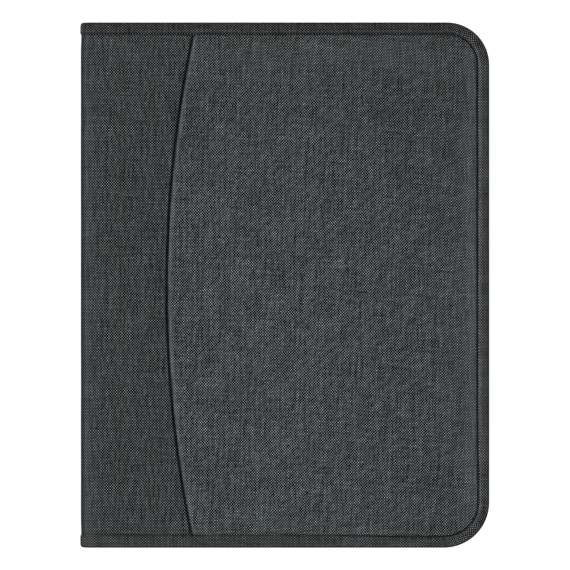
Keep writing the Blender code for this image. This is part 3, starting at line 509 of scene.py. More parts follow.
def paint(piece, paint_of):
    """Paints how even the cloth is (fold) and its shift of tone, which is mostly painted light and shade,
    from places on the opened-out case.
    """
    folds, shifts = [], []
    for vertex in piece.data.vertices:
        fold, shift = paint_of(*opened_out(*vertex.co))
        folds.append(fold)
        shifts.append((shift, shift, shift) if isinstance(shift, float) else shift)
    tag(piece, "fold", folds)
    attribute = piece.data.attributes.new("shift", "FLOAT_VECTOR", "POINT")
    attribute.data.foreach_set("vector", np.array(shifts, np.float32).ravel())


def opened_out(x, y, z):
    """The place on the opened-out case of a point on the closed one, with its inset and way out."""
    up = abs(z - MIDDLE) - (MIDDLE - HINGE_RADIUS)
    if x >= HINGE_X:
        along = x - HINGE_X
    elif up > 0:
        along = -HINGE_RADIUS * math.atan2(HINGE_X - x, up)
    else:
        along = up - HINGE_ARC
    return along, y, *edge_at(max(along, 0.0), y)


# Shader building


class Nodes:
    """Short words for adding nodes to a tree and joining them."""

    def __init__(self, tree):
        self.tree = tree

    def add(self, kind, **settings):
        node = self.tree.nodes.new(kind)
        for key, value in settings.items():
            setattr(node, key, value)
        return node

    def feed(self, socket, value):
        if isinstance(value, bpy.types.NodeSocket):
            self.tree.links.new(value, socket)
        else:
            socket.default_value = value

    def maths(self, operation, *values):
        node = self.add("ShaderNodeMath", operation=operation)
        for socket, value in zip(node.inputs, values):
            self.feed(socket, value)
        return node.outputs[0]

    def mix(self, share, first, second, kind="RGBA", blend="MIX"):
        node = self.add("ShaderNodeMix", data_type=kind, blend_type=blend)
        sockets = [s for s in node.inputs if s.enabled]
        for socket, value in zip(sockets, (share, first, second)):
            self.feed(socket, value)
        return next(s for s in node.outputs if s.enabled)

    def noise(self, vector, scale, detail=2.0, roughness=0.5, dimensions="3D"):
        node = self.add("ShaderNodeTexNoise", noise_dimensions=dimensions)
        self.feed(node.inputs["Vector"], vector)
        node.inputs["Scale"].default_value = scale
        node.inputs["Detail"].default_value = detail
        node.inputs["Roughness"].default_value = roughness
        return node.outputs["Fac"]

    def combine(self, x, y, z=0.0):
        node = self.add("ShaderNodeCombineXYZ")
        for socket, value in zip(node.inputs, (x, y, z)):
            self.feed(socket, value)
        return node.outputs[0]

    def ramp(self, value, low, high, out_low, out_high):
        node = self.add("ShaderNodeMapRange")
        for socket, given in zip(node.inputs, (value, low, high, out_low, out_high)):
            self.feed(socket, given)
        return node.outputs[0]

    def bump(self, height, strength, distance):
        node = self.add("ShaderNodeBump")
        self.feed(node.inputs["Height"], height)
        node.inputs["Strength"].default_value = strength
        node.inputs["Distance"].default_value = distance
        return node.outputs["Normal"]


def new_group(name, inputs, outputs):
    """An empty shader group, and its two ends as dictionaries of sockets."""
    group = bpy.data.node_groups.new(name, "ShaderNodeTree")
    for socket, kind, value in inputs:
        made = group.interface.new_socket(name=socket, in_out="INPUT", socket_type=kind)
        if value is not None:
            made.default_value = value
    for socket, kind in outputs:
        group.interface.new_socket(name=socket, in_out="OUTPUT", socket_type=kind)
    nodes = Nodes(group)
    start, end = nodes.add("NodeGroupInput"), nodes.add("NodeGroupOutput")
    return group, nodes, start.outputs, end.inputs


def make_weave_group():
    """Plain weave of yarns along V (warp) and along U (weft).

    Warp says which yarn is on top, Height how high it stands there, Shade how light it is and Fibre the fine
    twisted lines along it."""
    group, nodes, given, wanted = new_group(
        "plain_weave",
        [
            ("Vector", "NodeSocketVector", None),
            ("Warp Pitch", "NodeSocketFloat", 0.0009),
            ("Weft Pitch", "NodeSocketFloat", 0.0009),
            ("Wander", "NodeSocketFloat", 0.5),
            ("Slub", "NodeSocketFloat", 0.25),
        ],
        [
            ("Warp", "NodeSocketFloat"),
            ("Height", "NodeSocketFloat"),
            ("Shade", "NodeSocketFloat"),
            ("Fibre", "NodeSocketFloat"),
        ],
    )
    drift = nodes.add("ShaderNodeTexNoise")
    nodes.feed(drift.inputs["Vector"], given["Vector"])
    drift.inputs["Scale"].default_value = 45.0
    drift.inputs["Detail"].default_value = 4.0
    apart = nodes.add("ShaderNodeSeparateXYZ")
    nodes.feed(apart.inputs[0], given["Vector"])
    apart_drift = nodes.add("ShaderNodeSeparateXYZ")
    nodes.feed(apart_drift.inputs[0], drift.outputs["Color"])
    counts, waves, sides, crowns = [], [], [], []
    for axis, pitch in ((0, "Warp Pitch"), (1, "Weft Pitch")):
        straight = nodes.maths("DIVIDE", apart.outputs[axis], given[pitch])
        away = nodes.maths("SUBTRACT", apart_drift.outputs[axis], 0.5)
        count = nodes.maths("MULTIPLY_ADD", away, given["Wander"], straight)
        counts.append(count)
        waves.append(nodes.maths("SINE", nodes.maths("MULTIPLY", count, math.pi)))
        sides.append(nodes.maths("SIGN", waves[-1]))
        crowns.append(nodes.maths("ABSOLUTE", waves[-1]))
    warp_up = nodes.maths("MULTIPLY", nodes.maths("MULTIPLY", waves[1], sides[0]), YARN_DIP)
    weft_up = nodes.maths("MULTIPLY", nodes.maths("MULTIPLY", waves[0], sides[1]), -YARN_DIP)
    warp_height = nodes.maths("ADD", warp_up, crowns[0])
    weft_height = nodes.maths("ADD", weft_up, crowns[1])
    on_top = nodes.maths("GREATER_THAN", warp_height, weft_height)
    height = nodes.maths("DIVIDE", nodes.maths("MAXIMUM", warp_height, weft_height), 1 + YARN_DIP)
    yarns = [nodes.maths("FLOOR", count) for count in counts]
    shades, fibres = [], []
    for own, other, seed in ((0, 1, 0.0), (1, 0, 40.0)):
        lane = nodes.combine(
            nodes.maths("MULTIPLY_ADD", yarns[own], LANE_SPREAD, seed),
            nodes.maths("MULTIPLY", counts[other], STREAK_STRETCH),
        )
        shades.append(nodes.maths("SUBTRACT", nodes.noise(lane, 1.0, 1.5, 0.5, "2D"), 0.5))
        twist = nodes.combine(
            nodes.maths(
                "MULTIPLY_ADD", counts[other], TWIST_SLANT, nodes.maths("MULTIPLY", counts[own], TWIST_FIBRES)
            ),
            nodes.maths("MULTIPLY", counts[other], TWIST_STRETCH),
        )
        fibres.append(nodes.noise(twist, 1.0, 3.0, 0.6, "2D"))
    knuckle = nodes.add("ShaderNodeTexWhiteNoise", noise_dimensions="2D")
    nodes.feed(knuckle.inputs["Vector"], nodes.combine(*yarns))
    chance = nodes.maths("MULTIPLY_ADD", knuckle.outputs["Value"], KNUCKLE_RANGE, -KNUCKLE_RANGE / 2)
    column = nodes.maths("MULTIPLY", shades[0], COLUMN_STRENGTH)
    streak = nodes.maths("MULTIPLY_ADD", shades[1], STREAK_STRENGTH, column)
    speckled = nodes.maths("MULTIPLY_ADD", chance, KNUCKLE_STRENGTH, streak)
    uneven = nodes.maths("MULTIPLY", speckled, given["Slub"])
    nodes.feed(wanted["Warp"], on_top)
    nodes.feed(wanted["Height"], height)
    nodes.feed(wanted["Shade"], nodes.maths("MAXIMUM", nodes.maths("ADD", uneven, 1.0), LEAST_SHADE))
    nodes.feed(wanted["Fibre"], nodes.mix(on_top, fibres[1], fibres[0], "FLOAT"))
    return group


def make_wear_group():
    """Dust and rubbing for metal and plastic: a fine mask and a broad one."""
    group, nodes, given, wanted = new_group(
        "handling",
        [("Fine Scale", "NodeSocketFloat", 900.0), ("Broad Scale", "NodeSocketFloat", 45.0)],
        [("Fine", "NodeSocketFloat"), ("Broad", "NodeSocketFloat")],
    )
    where = nodes.add("ShaderNodeTexCoord").outputs["Object"]
    for socket, scale in (("Fine", "Fine Scale"), ("Broad", "Broad Scale")):
        texture = nodes.add("ShaderNodeTexNoise")
        nodes.feed(texture.inputs["Vector"], where)
        nodes.feed(texture.inputs["Scale"], given[scale])
        texture.inputs["Detail"].default_value = 4.0
        nodes.feed(wanted[socket], texture.outputs["Fac"])
    return group


def new_material(name):
    material = bpy.data.materials.new(name)
    material.use_nodes = True
    shader = material.node_tree.nodes["Principled BSDF"]
    return material, Nodes(material.node_tree), shader


def uv_in_metres(nodes):
    return nodes.add("ShaderNodeUVMap", uv_map="cloth").outputs[0]


def handled(nodes, fine_scale, broad_scale):
    """The fine and the broad mask of dust and rubbing."""
    wear = nodes.add("ShaderNodeGroup", node_tree=groups["wear"])
    wear.inputs["Fine Scale"].default_value = fine_scale
    wear.inputs["Broad Scale"].default_value = broad_scale
    return wear.outputs["Fine"], wear.outputs["Broad"]


def seen_white(nodes):
    """A mask of the rays that see the surroundings white: the camera's, reflected and transmitted ones."""
    path = nodes.add("ShaderNodeLightPath")
    seen = nodes.maths("MAXIMUM", path.outputs["Is Camera Ray"], path.outputs["Is Glossy Ray"])
    return nodes.maths("MAXIMUM", seen, path.outputs["Is Transmission Ray"])


def woven(name, warp, weft, pitches, wander, slub, relief, sheen, depth, roughness=0.85, shine=0.25):
    """A woven cloth of two yarns, whose colours are linear. Depth is how fast a yarn darkens down its sides,
    a painted shade between the yarns.

    "fold" brings the two yarns together where the cloth is stretched, and "shift" adds to its tone in red,
    green and blue, mostly as painted light and shade; both are painted on the piece, and are 0 where they
    aren't."""
    material, nodes, shader = new_material(name)
    where = uv_in_metres(nodes)
    weave = nodes.add("ShaderNodeGroup", node_tree=groups["weave"])
    nodes.feed(weave.inputs["Vector"], where)
    for socket, value in zip(("Warp Pitch", "Weft Pitch", "Wander", "Slub"), (*pitches, wander, slub)):
        weave.inputs[socket].default_value = value
    on_top, height, shade, fibre = (weave.outputs[key] for key in ("Warp", "Height", "Shade", "Fibre"))
    fold = nodes.add("ShaderNodeAttribute", attribute_name="fold").outputs["Fac"]
    shift = nodes.add("ShaderNodeAttribute", attribute_name="shift").outputs["Vector"]
    strand = nodes.ramp(fibre, 0.3, 0.7, *STRAND_RANGE)
    yarn = nodes.mix(on_top, (*weft, 1), (*warp, 1))
    # Painted shade: each yarn darkens down its sides to where the next yarn crosses
    deep_height = nodes.maths("POWER", height, depth)
    lit = nodes.maths("MULTIPLY", deep_height, nodes.maths("MULTIPLY", strand, shade))
    threads = nodes.mix(1.0, yarn, nodes.combine(lit, lit, lit), blend="MULTIPLY")
    mean = 0.5 * (1 + DEPTH_DARKENS * SOFT_DEPTH) / (1 + DEPTH_DARKENS * depth)
    middle = tuple(mean * (a + b) for a, b in zip(warp, weft))
    even = nodes.maths("MULTIPLY_ADD", nodes.maths("SUBTRACT", shade, 1.0), 0.5, 1.0)
    soft_height = nodes.maths("POWER", height, SOFT_DEPTH)
    soft = nodes.maths("MULTIPLY", soft_height, nodes.maths("MULTIPLY", strand, even))
    stretched = nodes.mix(1.0, (*middle, 1), nodes.combine(soft, soft, soft), blend="MULTIPLY")
    mixed = nodes.mix(fold, threads, stretched)
    tone = nodes.ramp(nodes.noise(where, 14.0, 3.0), 0.3, 0.7, *TONE_RANGE)
    # The painted shift of tone, mostly painted light and shade
    painted = nodes.add("ShaderNodeVectorMath", operation="MULTIPLY_ADD")
    for socket, value in zip(painted.inputs, (shift, (1, 1, 1), (1, 1, 1))):
        nodes.feed(socket, value)
    toned = nodes.add("ShaderNodeVectorMath", operation="SCALE")
    nodes.feed(toned.inputs["Vector"], painted.outputs[0])
    nodes.feed(toned.inputs["Scale"], tone)
    nodes.feed(shader.inputs["Base Color"], nodes.mix(1.0, mixed, toned.outputs[0], blend="MULTIPLY"))
    nodes.feed(shader.inputs["Roughness"], nodes.ramp(height, 0.0, 1.0, roughness + 0.1, roughness - 0.05))
    relief_height = nodes.maths("MULTIPLY_ADD", fibre, FIBRE_RELIEF, height)
    nodes.feed(shader.inputs["Normal"], nodes.bump(relief_height, relief, min(pitches) * RELIEF_SHARE))
    shader.inputs["Sheen Weight"].default_value = sheen
    shader.inputs["Sheen Roughness"].default_value = 0.5
    shader.inputs["Specular IOR Level"].default_value = shine
    return material


def zip_tape_cloth():
    """Zip tape: ribs that slant one way and then the other, as in a herringbone."""
    material, nodes, shader = new_material("zip_tape_cloth")
    apart = nodes.add("ShaderNodeSeparateXYZ")
    nodes.feed(apart.inputs[0], uv_in_metres(nodes))
    lane = nodes.maths("PINGPONG", apart.outputs[1], 0.0016)
    slant = nodes.maths("ADD", apart.outputs[0], lane)
    rib = nodes.maths("SINE", nodes.maths("MULTIPLY", slant, 2 * math.pi / 0.00055))
    height = nodes.maths("MULTIPLY_ADD", rib, 0.5, 0.5)
    tone = nodes.mix(height, (0.008, 0.008, 0.009, 1), (0.026, 0.026, 0.028, 1))
    nodes.feed(shader.inputs["Base Color"], tone)
    nodes.feed(shader.inputs["Roughness"], nodes.ramp(height, 0.0, 1.0, 0.9, 0.7))
    nodes.feed(shader.inputs["Normal"], nodes.bump(height, 0.6, 0.0002))
    shader.inputs["Sheen Weight"].default_value = 0.1
    return material


def elastic_webbing():
    """Elastic: ribs round the loop, with a little fuzz."""
    material, nodes, shader = new_material("elastic_webbing")
    apart = nodes.add("ShaderNodeSeparateXYZ")
    where = uv_in_metres(nodes)
    nodes.feed(apart.inputs[0], where)
    rib = nodes.maths("SINE", nodes.maths("MULTIPLY", apart.outputs[0], 2 * math.pi / 0.0011))
    fuzz = nodes.maths("MULTIPLY", nodes.noise(where, 2500.0), 0.2)
    height = nodes.maths("ADD", nodes.maths("MULTIPLY_ADD", rib, 0.45, 0.45), fuzz)
    tone = nodes.mix(height, (0.010, 0.010, 0.011, 1), (0.030, 0.030, 0.032, 1))
    nodes.feed(shader.inputs["Base Color"], tone)
    nodes.feed(shader.inputs["Roughness"], nodes.ramp(height, 0.0, 1.0, 0.9, 0.72))
    nodes.feed(shader.inputs["Normal"], nodes.bump(height, 0.7, 0.0003))
    shader.inputs["Sheen Weight"].default_value = 0.15
    return material


def sewing_thread(name, low, high):
    """Sewing thread, with fine mottling from its twist."""
    material, nodes, shader = new_material(name)
    where = nodes.add("ShaderNodeTexCoord").outputs["Object"]
    strand = nodes.noise(where, 4200.0, 2.0)
    nodes.feed(shader.inputs["Base Color"], nodes.mix(strand, (*low, 1), (*high, 1)))
    nodes.feed(shader.inputs["Roughness"], nodes.ramp(strand, 0.3, 0.7, 0.75, 0.5))
    nodes.feed(shader.inputs["Normal"], nodes.bump(strand, 0.4, 0.0001))
    return material


def metal(name, dull, bright, rough_low, rough_high):
    """Plated metal with faint rubbing."""
    material, nodes, shader = new_material(name)
    fine, broad = handled(nodes, 900.0, 45.0)
    nodes.feed(shader.inputs["Base Color"], nodes.mix(broad, (*dull, 1), (*bright, 1)))
    both = nodes.maths("MULTIPLY_ADD", fine, 0.4, nodes.maths("MULTIPLY", broad, 0.6))
    nodes.feed(shader.inputs["Roughness"], nodes.ramp(both, 0.35, 0.65, rough_low, rough_high))
    nodes.feed(shader.inputs["Normal"], nodes.bump(fine, 0.15, 0.00004))
    shader.inputs["Metallic"].default_value = 1.0
    return material


def nylon_teeth():
    """Black nylon, faintly uneven."""
    material, nodes, shader = new_material("nylon_teeth")
    fine, broad = handled(nodes, 900.0, 45.0)
    tone = nodes.mix(broad, (0.010, 0.010, 0.011, 1), (0.020, 0.020, 0.021, 1))
    nodes.feed(shader.inputs["Base Color"], tone)
    nodes.feed(shader.inputs["Roughness"], nodes.ramp(fine, 0.3, 0.7, 0.45, 0.6))
    shader.inputs["Specular IOR Level"].default_value = 0.25
    return material


def greyboard():
    """Raw board, speckled by its pulp."""
    material, nodes, shader = new_material("greyboard")
    where = nodes.add("ShaderNodeTexCoord").outputs["Object"]
    pulp = nodes.noise(where, 700.0, 5.0, 0.7)
    nodes.feed(shader.inputs["Base Color"], nodes.mix(pulp, (0.20, 0.18, 0.15, 1), (0.38, 0.35, 0.29, 1)))
    nodes.feed(shader.inputs["Roughness"], nodes.ramp(pulp, 0.3, 0.7, 0.95, 0.85))
    nodes.feed(shader.inputs["Normal"], nodes.bump(pulp, 0.3, 0.0002))
    return material


groups = {"weave": make_weave_group(), "wear": make_wear_group()}
FABRIC_WARP = (0.664, 0.744, 0.779)
FABRIC_WEFT = (0.0010, 0.0055, 0.0075)
BAND_WARP = (0.552, 0.608, 0.599)
OUTER_PITCHES = (0.000871, 0.000955)
BAND_PITCHES = (0.000965, 0.000900)
OUTER_WEAVE = {"wander": 0.15, "slub": 0.20, "relief": 0.6, "sheen": 0.0, "depth": 7.0, "shine": 0.02}
fabric = woven("outer_cloth", FABRIC_WARP, FABRIC_WEFT, OUTER_PITCHES, **OUTER_WEAVE)
tape = woven("binding_cloth", BAND_WARP, FABRIC_WEFT, BAND_PITCHES, **OUTER_WEAVE)
lining = woven(
    "lining_cloth", (0.040, 0.041, 0.044), (0.024, 0.025, 0.027), (0.00030, 0.00034),
    wander=0.3, slub=0.05, relief=0.25, sheen=0.1, depth=0.5, roughness=0.55,
)
pocket_cloth = woven(
    "pocket_cloth", (0.135, 0.140, 0.146), (0.058, 0.060, 0.064), (0.00046, 0.00052),
    wander=0.3, slub=0.06, relief=0.35, sheen=0.1, depth=0.8, roughness=0.65,
)
trim_cloth = woven(
    "trim_cloth", (0.022, 0.022, 0.023), (0.008, 0.008, 0.009), (0.00045, 0.00045),
    wander=0.3, slub=0.06, relief=0.5, sheen=0.1, depth=0.8,
)
zip_tape = zip_tape_cloth()
elastic = elastic_webbing()
dark_thread = sewing_thread("dark_thread", (0.030, 0.031, 0.031), (0.060, 0.062, 0.062))
black_thread = sewing_thread("black_thread", (0.010, 0.010, 0.010), (0.030, 0.030, 0.031))
grey_thread = sewing_thread("grey_thread", (0.120, 0.122, 0.125), (0.200, 0.203, 0.208))
gunmetal = metal("gunmetal", (0.055, 0.055, 0.058), (0.11, 0.11, 0.115), 0.28, 0.42)
nickel = metal("nickel", (0.46, 0.45, 0.43), (0.60, 0.59, 0.57), 0.14, 0.30)
nylon = nylon_teeth()
board_material = greyboard()


# Repeated small things, placed by geometry nodes


def make_scatter_group():
    """Puts an item on every point, standing along "up" and turned along "along", and makes it real."""
    group = bpy.data.node_groups.new("set_along_path", "GeometryNodeTree")
    for name, kind in (
        ("Geometry", "NodeSocketGeometry"),
        ("Item", "NodeSocketObject"),
        ("Length", "NodeSocketFloat"),
        ("Width", "NodeSocketFloat"),
        ("Height", "NodeSocketFloat"),
        ("Material", "NodeSocketMaterial"),
    ):
        group.interface.new_socket(name=name, in_out="INPUT", socket_type=kind)
    group.interface.new_socket(name="Geometry", in_out="OUTPUT", socket_type="NodeSocketGeometry")
    nodes = Nodes(group)
    given = nodes.add("NodeGroupInput").outputs
    item = nodes.add("GeometryNodeObjectInfo", transform_space="ORIGINAL")
    nodes.feed(item.inputs["Object"], given["Item"])
    turn = nodes.add("FunctionNodeAxesToRotation", primary_axis="Z", secondary_axis="X")
    for socket, attribute in (("Primary Axis", "up"), ("Secondary Axis", "along")):
        stored = nodes.add("GeometryNodeInputNamedAttribute", data_type="FLOAT_VECTOR")
        stored.inputs["Name"].default_value = attribute
        nodes.feed(turn.inputs[socket], stored.outputs[0])
    size = nodes.add("ShaderNodeCombineXYZ")
    for socket, name in zip(size.inputs, ("Length", "Width", "Height")):
        nodes.feed(socket, given[name])
    scatter = nodes.add("GeometryNodeInstanceOnPoints")
    nodes.feed(scatter.inputs["Points"], given["Geometry"])
    nodes.feed(scatter.inputs["Instance"], item.outputs["Geometry"])
    nodes.feed(scatter.inputs["Rotation"], turn.outputs[0])
    nodes.feed(scatter.inputs["Scale"], size.outputs[0])
    real = nodes.add("GeometryNodeRealizeInstances")
    nodes.feed(real.inputs[0], scatter.outputs[0])
    finish = nodes.add("GeometryNodeSetMaterial")
    nodes.feed(finish.inputs["Geometry"], real.outputs[0])
    nodes.feed(finish.inputs["Material"], given["Material"])
    end = nodes.add("NodeGroupOutput")
    nodes.feed(end.inputs[0], finish.outputs[0])
    return group


scatter_group = make_scatter_group()


def set_along(name, spots, item, sizes, material):
    """Copies of an item at spots of (point, along, up), as one plain mesh."""
    mesh = bpy.data.meshes.new("spots")
    mesh.from_pydata([tuple(spot[0]) for spot in spots], [], [])
    for number, attribute in ((1, "along"), (2, "up")):
        stored = mesh.attributes.new(attribute, "FLOAT_VECTOR", "POINT")
        stored.data.foreach_set("vector", np.array([spot[number] for spot in spots], np.float32).ravel())
    carrier = bpy.data.objects.new("spots", mesh)
    bpy.context.scene.collection.objects.link(carrier)
    modifier = carrier.modifiers.new("set_along_path", "NODES")
    modifier.node_group = scatter_group
    values = dict(zip(("Length", "Width", "Height"), sizes), Item=item, Material=material)
    for socket in scatter_group.interface.items_tree:
        if socket.in_out == "INPUT" and socket.name in values:
            modifier[socket.identifier] = values[socket.name]
    graph = bpy.context.evaluated_depsgraph_get()
    made = bpy.data.meshes.new_from_object(carrier.evaluated_get(graph))
    bpy.data.objects.remove(carrier)
    for attribute in ("along", "up"):
        if attribute in made.attributes:
            made.attributes.remove(made.attributes[attribute])
    return finished(name, made, material)


def template(name, rows):
    """A small closed shape through rings of points, to be repeated."""
    item = bpy.data.objects.new(name, tube_mesh(rows))
    bpy.context.scene.collection.objects.link(item)
    item.data.shade_smooth()
    templates.append(item)
    return item


def ring_of(x, half_width, half_height, sides=6, lift=0.0):
    """An oval ring of points across X."""
    turns = [2 * math.pi * (i + 0.5) / sides for i in range(sides)]
    return [(x, half_width * math.cos(turn), lift + half_height * math.sin(turn)) for turn in turns]


templates = []
STITCH = template(
    "stitch",
    [ring_of(x, w / 2, h / 2, lift=lift) for x, w, h, lift in (
        (-0.5, 0.35, 0.3, -0.45),
        (-0.38, 0.85, 0.8, -0.05),
        (0.0, 1.0, 1.0, 0.1),
        (0.38, 0.85, 0.8, -0.05),
        (0.5, 0.35, 0.3, -0.45),
    )],
)
TOOTH = template(
    "tooth",
    [[(x, y, z) for y, x, z in ring_of(y, w / 2, h / 2, 8)] for y, w, h in (
        (0.0, 0.25, 0.5),
        (0.05, 0.42, 0.8),
        (0.55, 0.44, 1.0),
        (0.80, 0.34, 0.9),
        (0.92, 0.46, 0.8),
        (1.0, 0.22, 0.4),
    )],
)


def spaced(points, pitch, start=0.5):
    """Points at even distances along a path, each with the way onwards."""
    points = np.array(points, float)
    steps = np.linalg.norm(np.diff(points, axis=0), axis=1)
    reach = np.concatenate([[0], np.cumsum(steps)])
    count = int(reach[-1] / pitch)
    found = []
    for i in range(count):
        at = (i + start) * pitch
        k = min(len(steps) - 1, int(np.searchsorted(reach, at, side="right")) - 1)
        t = (at - reach[k]) / steps[k]
        onwards = points[k + 1] - points[k]
        found.append((points[k] + onwards * t, onwards / steps[k], k, t))
    return found


def stitch_line(name, points, ups, thread, pitch=STITCH_PITCH):
    """A row of stitches along a path; ups are the ways out of the cloth at the path's points."""
    spots = []
    for point, way, k, t in spaced(points, pitch):
        up = Vector(ups[k]).lerp(Vector(ups[k + 1]), t)
        spots.append((point, way, up))
    sizes = (STITCH_LENGTH * pitch / STITCH_PITCH, STITCH_WIDTH, STITCH_HEIGHT)
    return set_along(name, spots, STITCH, sizes, thread)


def spine_lift(along):
    """How much farther out the binding stands where it goes round the spine."""
    return SPINE_BAND_LIFT * smooth_step(-along / HINGE_ARC)


def band_stitches(name, rise, cover, outside):
    """Stitches along the free edges, on the binding's outer or inner face."""
    sign = 1 if outside else -1
    points, ups = [], []
    for station in edge_stations(SPINE_MIDDLE):
        level = rise + spine_lift(station[0])
        points.append(at_station(station, BAND_STITCH_INSET, level, cover))
        over = at_station(station, BAND_STITCH_INSET, level + sign * 0.001, cover)
        ups.append((Vector(over) - Vector(points[-1])).normalized())
    return stitch_line(name, points, ups, dark_thread)


# Baking pieces that run round a hinge


def bend_with_hinge(piece, cover):
    """Bakes the piece's placement into its mesh. Where it would bend round that cover's hinge, from the spine
    to the cover, is worked out, but the piece is not bent.
    """
    spread = HINGE_RADIUS * 0.5
    inner, outer = CASE_DEPTH - HINGE_RADIUS - spread, CASE_DEPTH
    if cover == "back":
        inner, outer = CASE_DEPTH - inner, CASE_DEPTH - outer
    start, end = (HINGE_X - HINGE_RADIUS, 0, inner), (HINGE_X + spread, 0, outer)
    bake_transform(piece)
    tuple(start)
    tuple(end)


# Covers


def arc_along(y):
    """Where the slip pocket's open edge lies, level with a given Y."""
    return ARC_MIDDLE_X - HINGE_X + ARC_RADIUS - math.sqrt(ARC_RADIUS**2 - (y - ARC_MIDDLE_Y) ** 2)


def roll_depth(along, out_y):
    """How deep the padded face rolls in at its edge: most at the fore edge and least round the spine."""
    share = SPINE_ROLL_SHARE + (1 - SPINE_ROLL_SHARE) * smooth_step(along / SPINE_ROLL_RUN)
    return (FORE_ROLL_DEPTH + (END_ROLL_DEPTH - FORE_ROLL_DEPTH) * out_y * out_y) * share


def band_extra(along, y, out_y):
    """The binding is a little wider at the foot near the spine, and narrower round the corner at the foot."""
    at_foot = max(0.0, -out_y) ** 2
    wider = FOOT_EXTRA * at_foot * (1 - fade(along, 0.13, 0.09))
    narrower = FORE_FOOT_LESS * fade(-y, 0.09, 0.05) * fade(along, 0.16, 0.05)
    return wider - narrower * (1 - 0.3 * at_foot)


def inside_groove(along, y, inset, out_y):
    """How far a place is inwards from the groove that the binding leaves round a panel."""
    return inset - PANEL_INSET - band_extra(along, y, out_y)


def edge_roll(along, y, less_deep=0.0, height=0.0):
    """Rise of a padded face near its edges: it comes up out of the groove in a quarter round."""
    inset, out_y = edge_at(along, y)
    inside = inside_groove(along, y, inset, out_y)
    depth = roll_depth(along, out_y) - less_deep
    rolled = -depth + (depth + height) * quarter_round(inside / ROLL_WIDTH)
    return rolled + wave(along, y, 3.1, size=0.045, amount=PANEL_WAVINESS)


def swelled(name, left_of, sewn_left, most):
    """How a padded sheet swells between its seams, by a cloth simulation on a flat grid.

    The sheet reaches from left_of(y) to the groove. The result is a function that gives the height over the
    seams at a place on the opened-out case, up to about "most"."""
    right, half = FORE - PANEL_INSET, HALF_HEIGHT - PANEL_INSET
    down, across = round(2 * half / PAD_CELL) + 1, round((right - left_of(0)) / PAD_CELL) + 1
    points, sewn = [], []
    for y in even_steps(-half, half, down - 1):
        for k, along in enumerate(even_steps(left_of(y), right, across - 1)):
            if edge_at(along, y)[0] < PANEL_INSET + PAD_SEAM or (sewn_left and k < 2):
                sewn.append(len(points))
            points.append((along, y, wave(along, y, size=0.012, amount=PAD_UNEVENNESS)))
    faces = [
        (i * across + k, i * across + k + 1, (i + 1) * across + k + 1, (i + 1) * across + k)
        for i in range(down - 1)
        for k in range(across - 1)
    ]
    mesh = bpy.data.meshes.new(name)
    mesh.from_pydata(points, [], faces)
    pad = bpy.data.objects.new(name, mesh)
    bpy.context.scene.collection.objects.link(pad)
    pad.vertex_groups.new(name="sewn").add(sewn, 1.0, "REPLACE")
    cloth = pad.modifiers.new("padding", "CLOTH")
    cloth.settings.quality = 5
    cloth.settings.mass = 0.05
    cloth.settings.air_damping = 1.0
    cloth.settings.tension_stiffness = 40
    cloth.settings.compression_stiffness = 40
    cloth.settings.shear_stiffness = 20
    cloth.settings.bending_stiffness = 0.05
    cloth.settings.vertex_group_mass = "sewn"
    cloth.settings.use_pressure = True
    cloth.settings.uniform_pressure_force = PAD_PRESSURE
    cloth.settings.shrink_min = -PAD_SLACK
    cloth.settings.effector_weights.gravity = 0.0
    cloth.collision_settings.use_collision = False
    cloth.point_cache.frame_end = PAD_FRAMES
    for number in range(1, PAD_FRAMES + 1):
        bpy.context.scene.frame_set(number)
    blown = pad.evaluated_get(bpy.context.evaluated_depsgraph_get()).to_mesh()
    heights = np.array([max(0.0, vertex.co.z) for vertex in blown.vertices]).reshape(down, across)
    heights = most * np.tanh(heights * PAD_SHARE / most)
    bpy.data.objects.remove(pad)
    bpy.context.scene.frame_set(1)

    def height_at(along, y):
        left = left_of(y)
        i = min(max((y + half) / (2 * half), 0.0), 1.0) * (down - 1.001)
        k = min(max((along - left) / (right - left), 0.0), 1.0) * (across - 1.001)
        (i, s), (k, t) = divmod(i, 1), divmod(k, 1)
        near = heights[int(i):int(i) + 2, int(k):int(k) + 2]
        lower, upper = (near[row, 0] * (1 - t) + near[row, 1] * t for row in (0, 1))
        return float(lower * (1 - s) + upper * s)

    return height_at


def padding(cover, along, y):
    """The swell of a cover's padding: even and slight towards the spine, where the cloth has no seam."""
    over_cover = smooth_step(along / SPINE_SIDE_FADE)
    round_spine = SPINE_SWELL
    if cover == "back":
        round_spine = BACK_SWELL + (SPINE_SWELL - BACK_SWELL) * smooth_step(-along / SPINE_SWELL_RUN)
    even = round_spine * fade(HALF_HEIGHT - abs(y), PANEL_INSET, SPINE_SWELL_END)
    return (swells[cover](along, y) if along > 0 else 0.0) * over_cover + even * (1 - over_cover)


def front_rise(along, y):
    """Rise of the front cover's cloth, which dips under the pocket's hem."""
    away = along - arc_along(y) + HEM_GAP
    rise = edge_roll(along, y) + padding("front", along, y)
    if away > -TROUGH_ROLL:
        share = quarter_round(-away / TROUGH_ROLL) if away < 0 else 0.0
        rise = -TROUGH_DEPTH + (rise + TROUGH_DEPTH) * share
    return rise


def back_rise(along, y):
    """Rise of the back cover's cloth."""
    inset, out_y = edge_at(along, y)
    rolled = -roll_depth(along, out_y) * (1 - quarter_round((inset - PANEL_INSET) / ROLL_WIDTH))
    return rolled + padding("back", along, y)


swells = {}
NEAR_EDGE = (0.0, 0.0002, 0.0005, 0.0009, 0.0014, 0.0020, 0.0027, 0.0036, 0.0050, 0.0075, 0.0110)
SPINE_COLUMNS = even_steps(SPINE_MIDDLE, -HINGE_ARC, 5)[:-1] + even_steps(-HINGE_ARC, 0.0, 14)


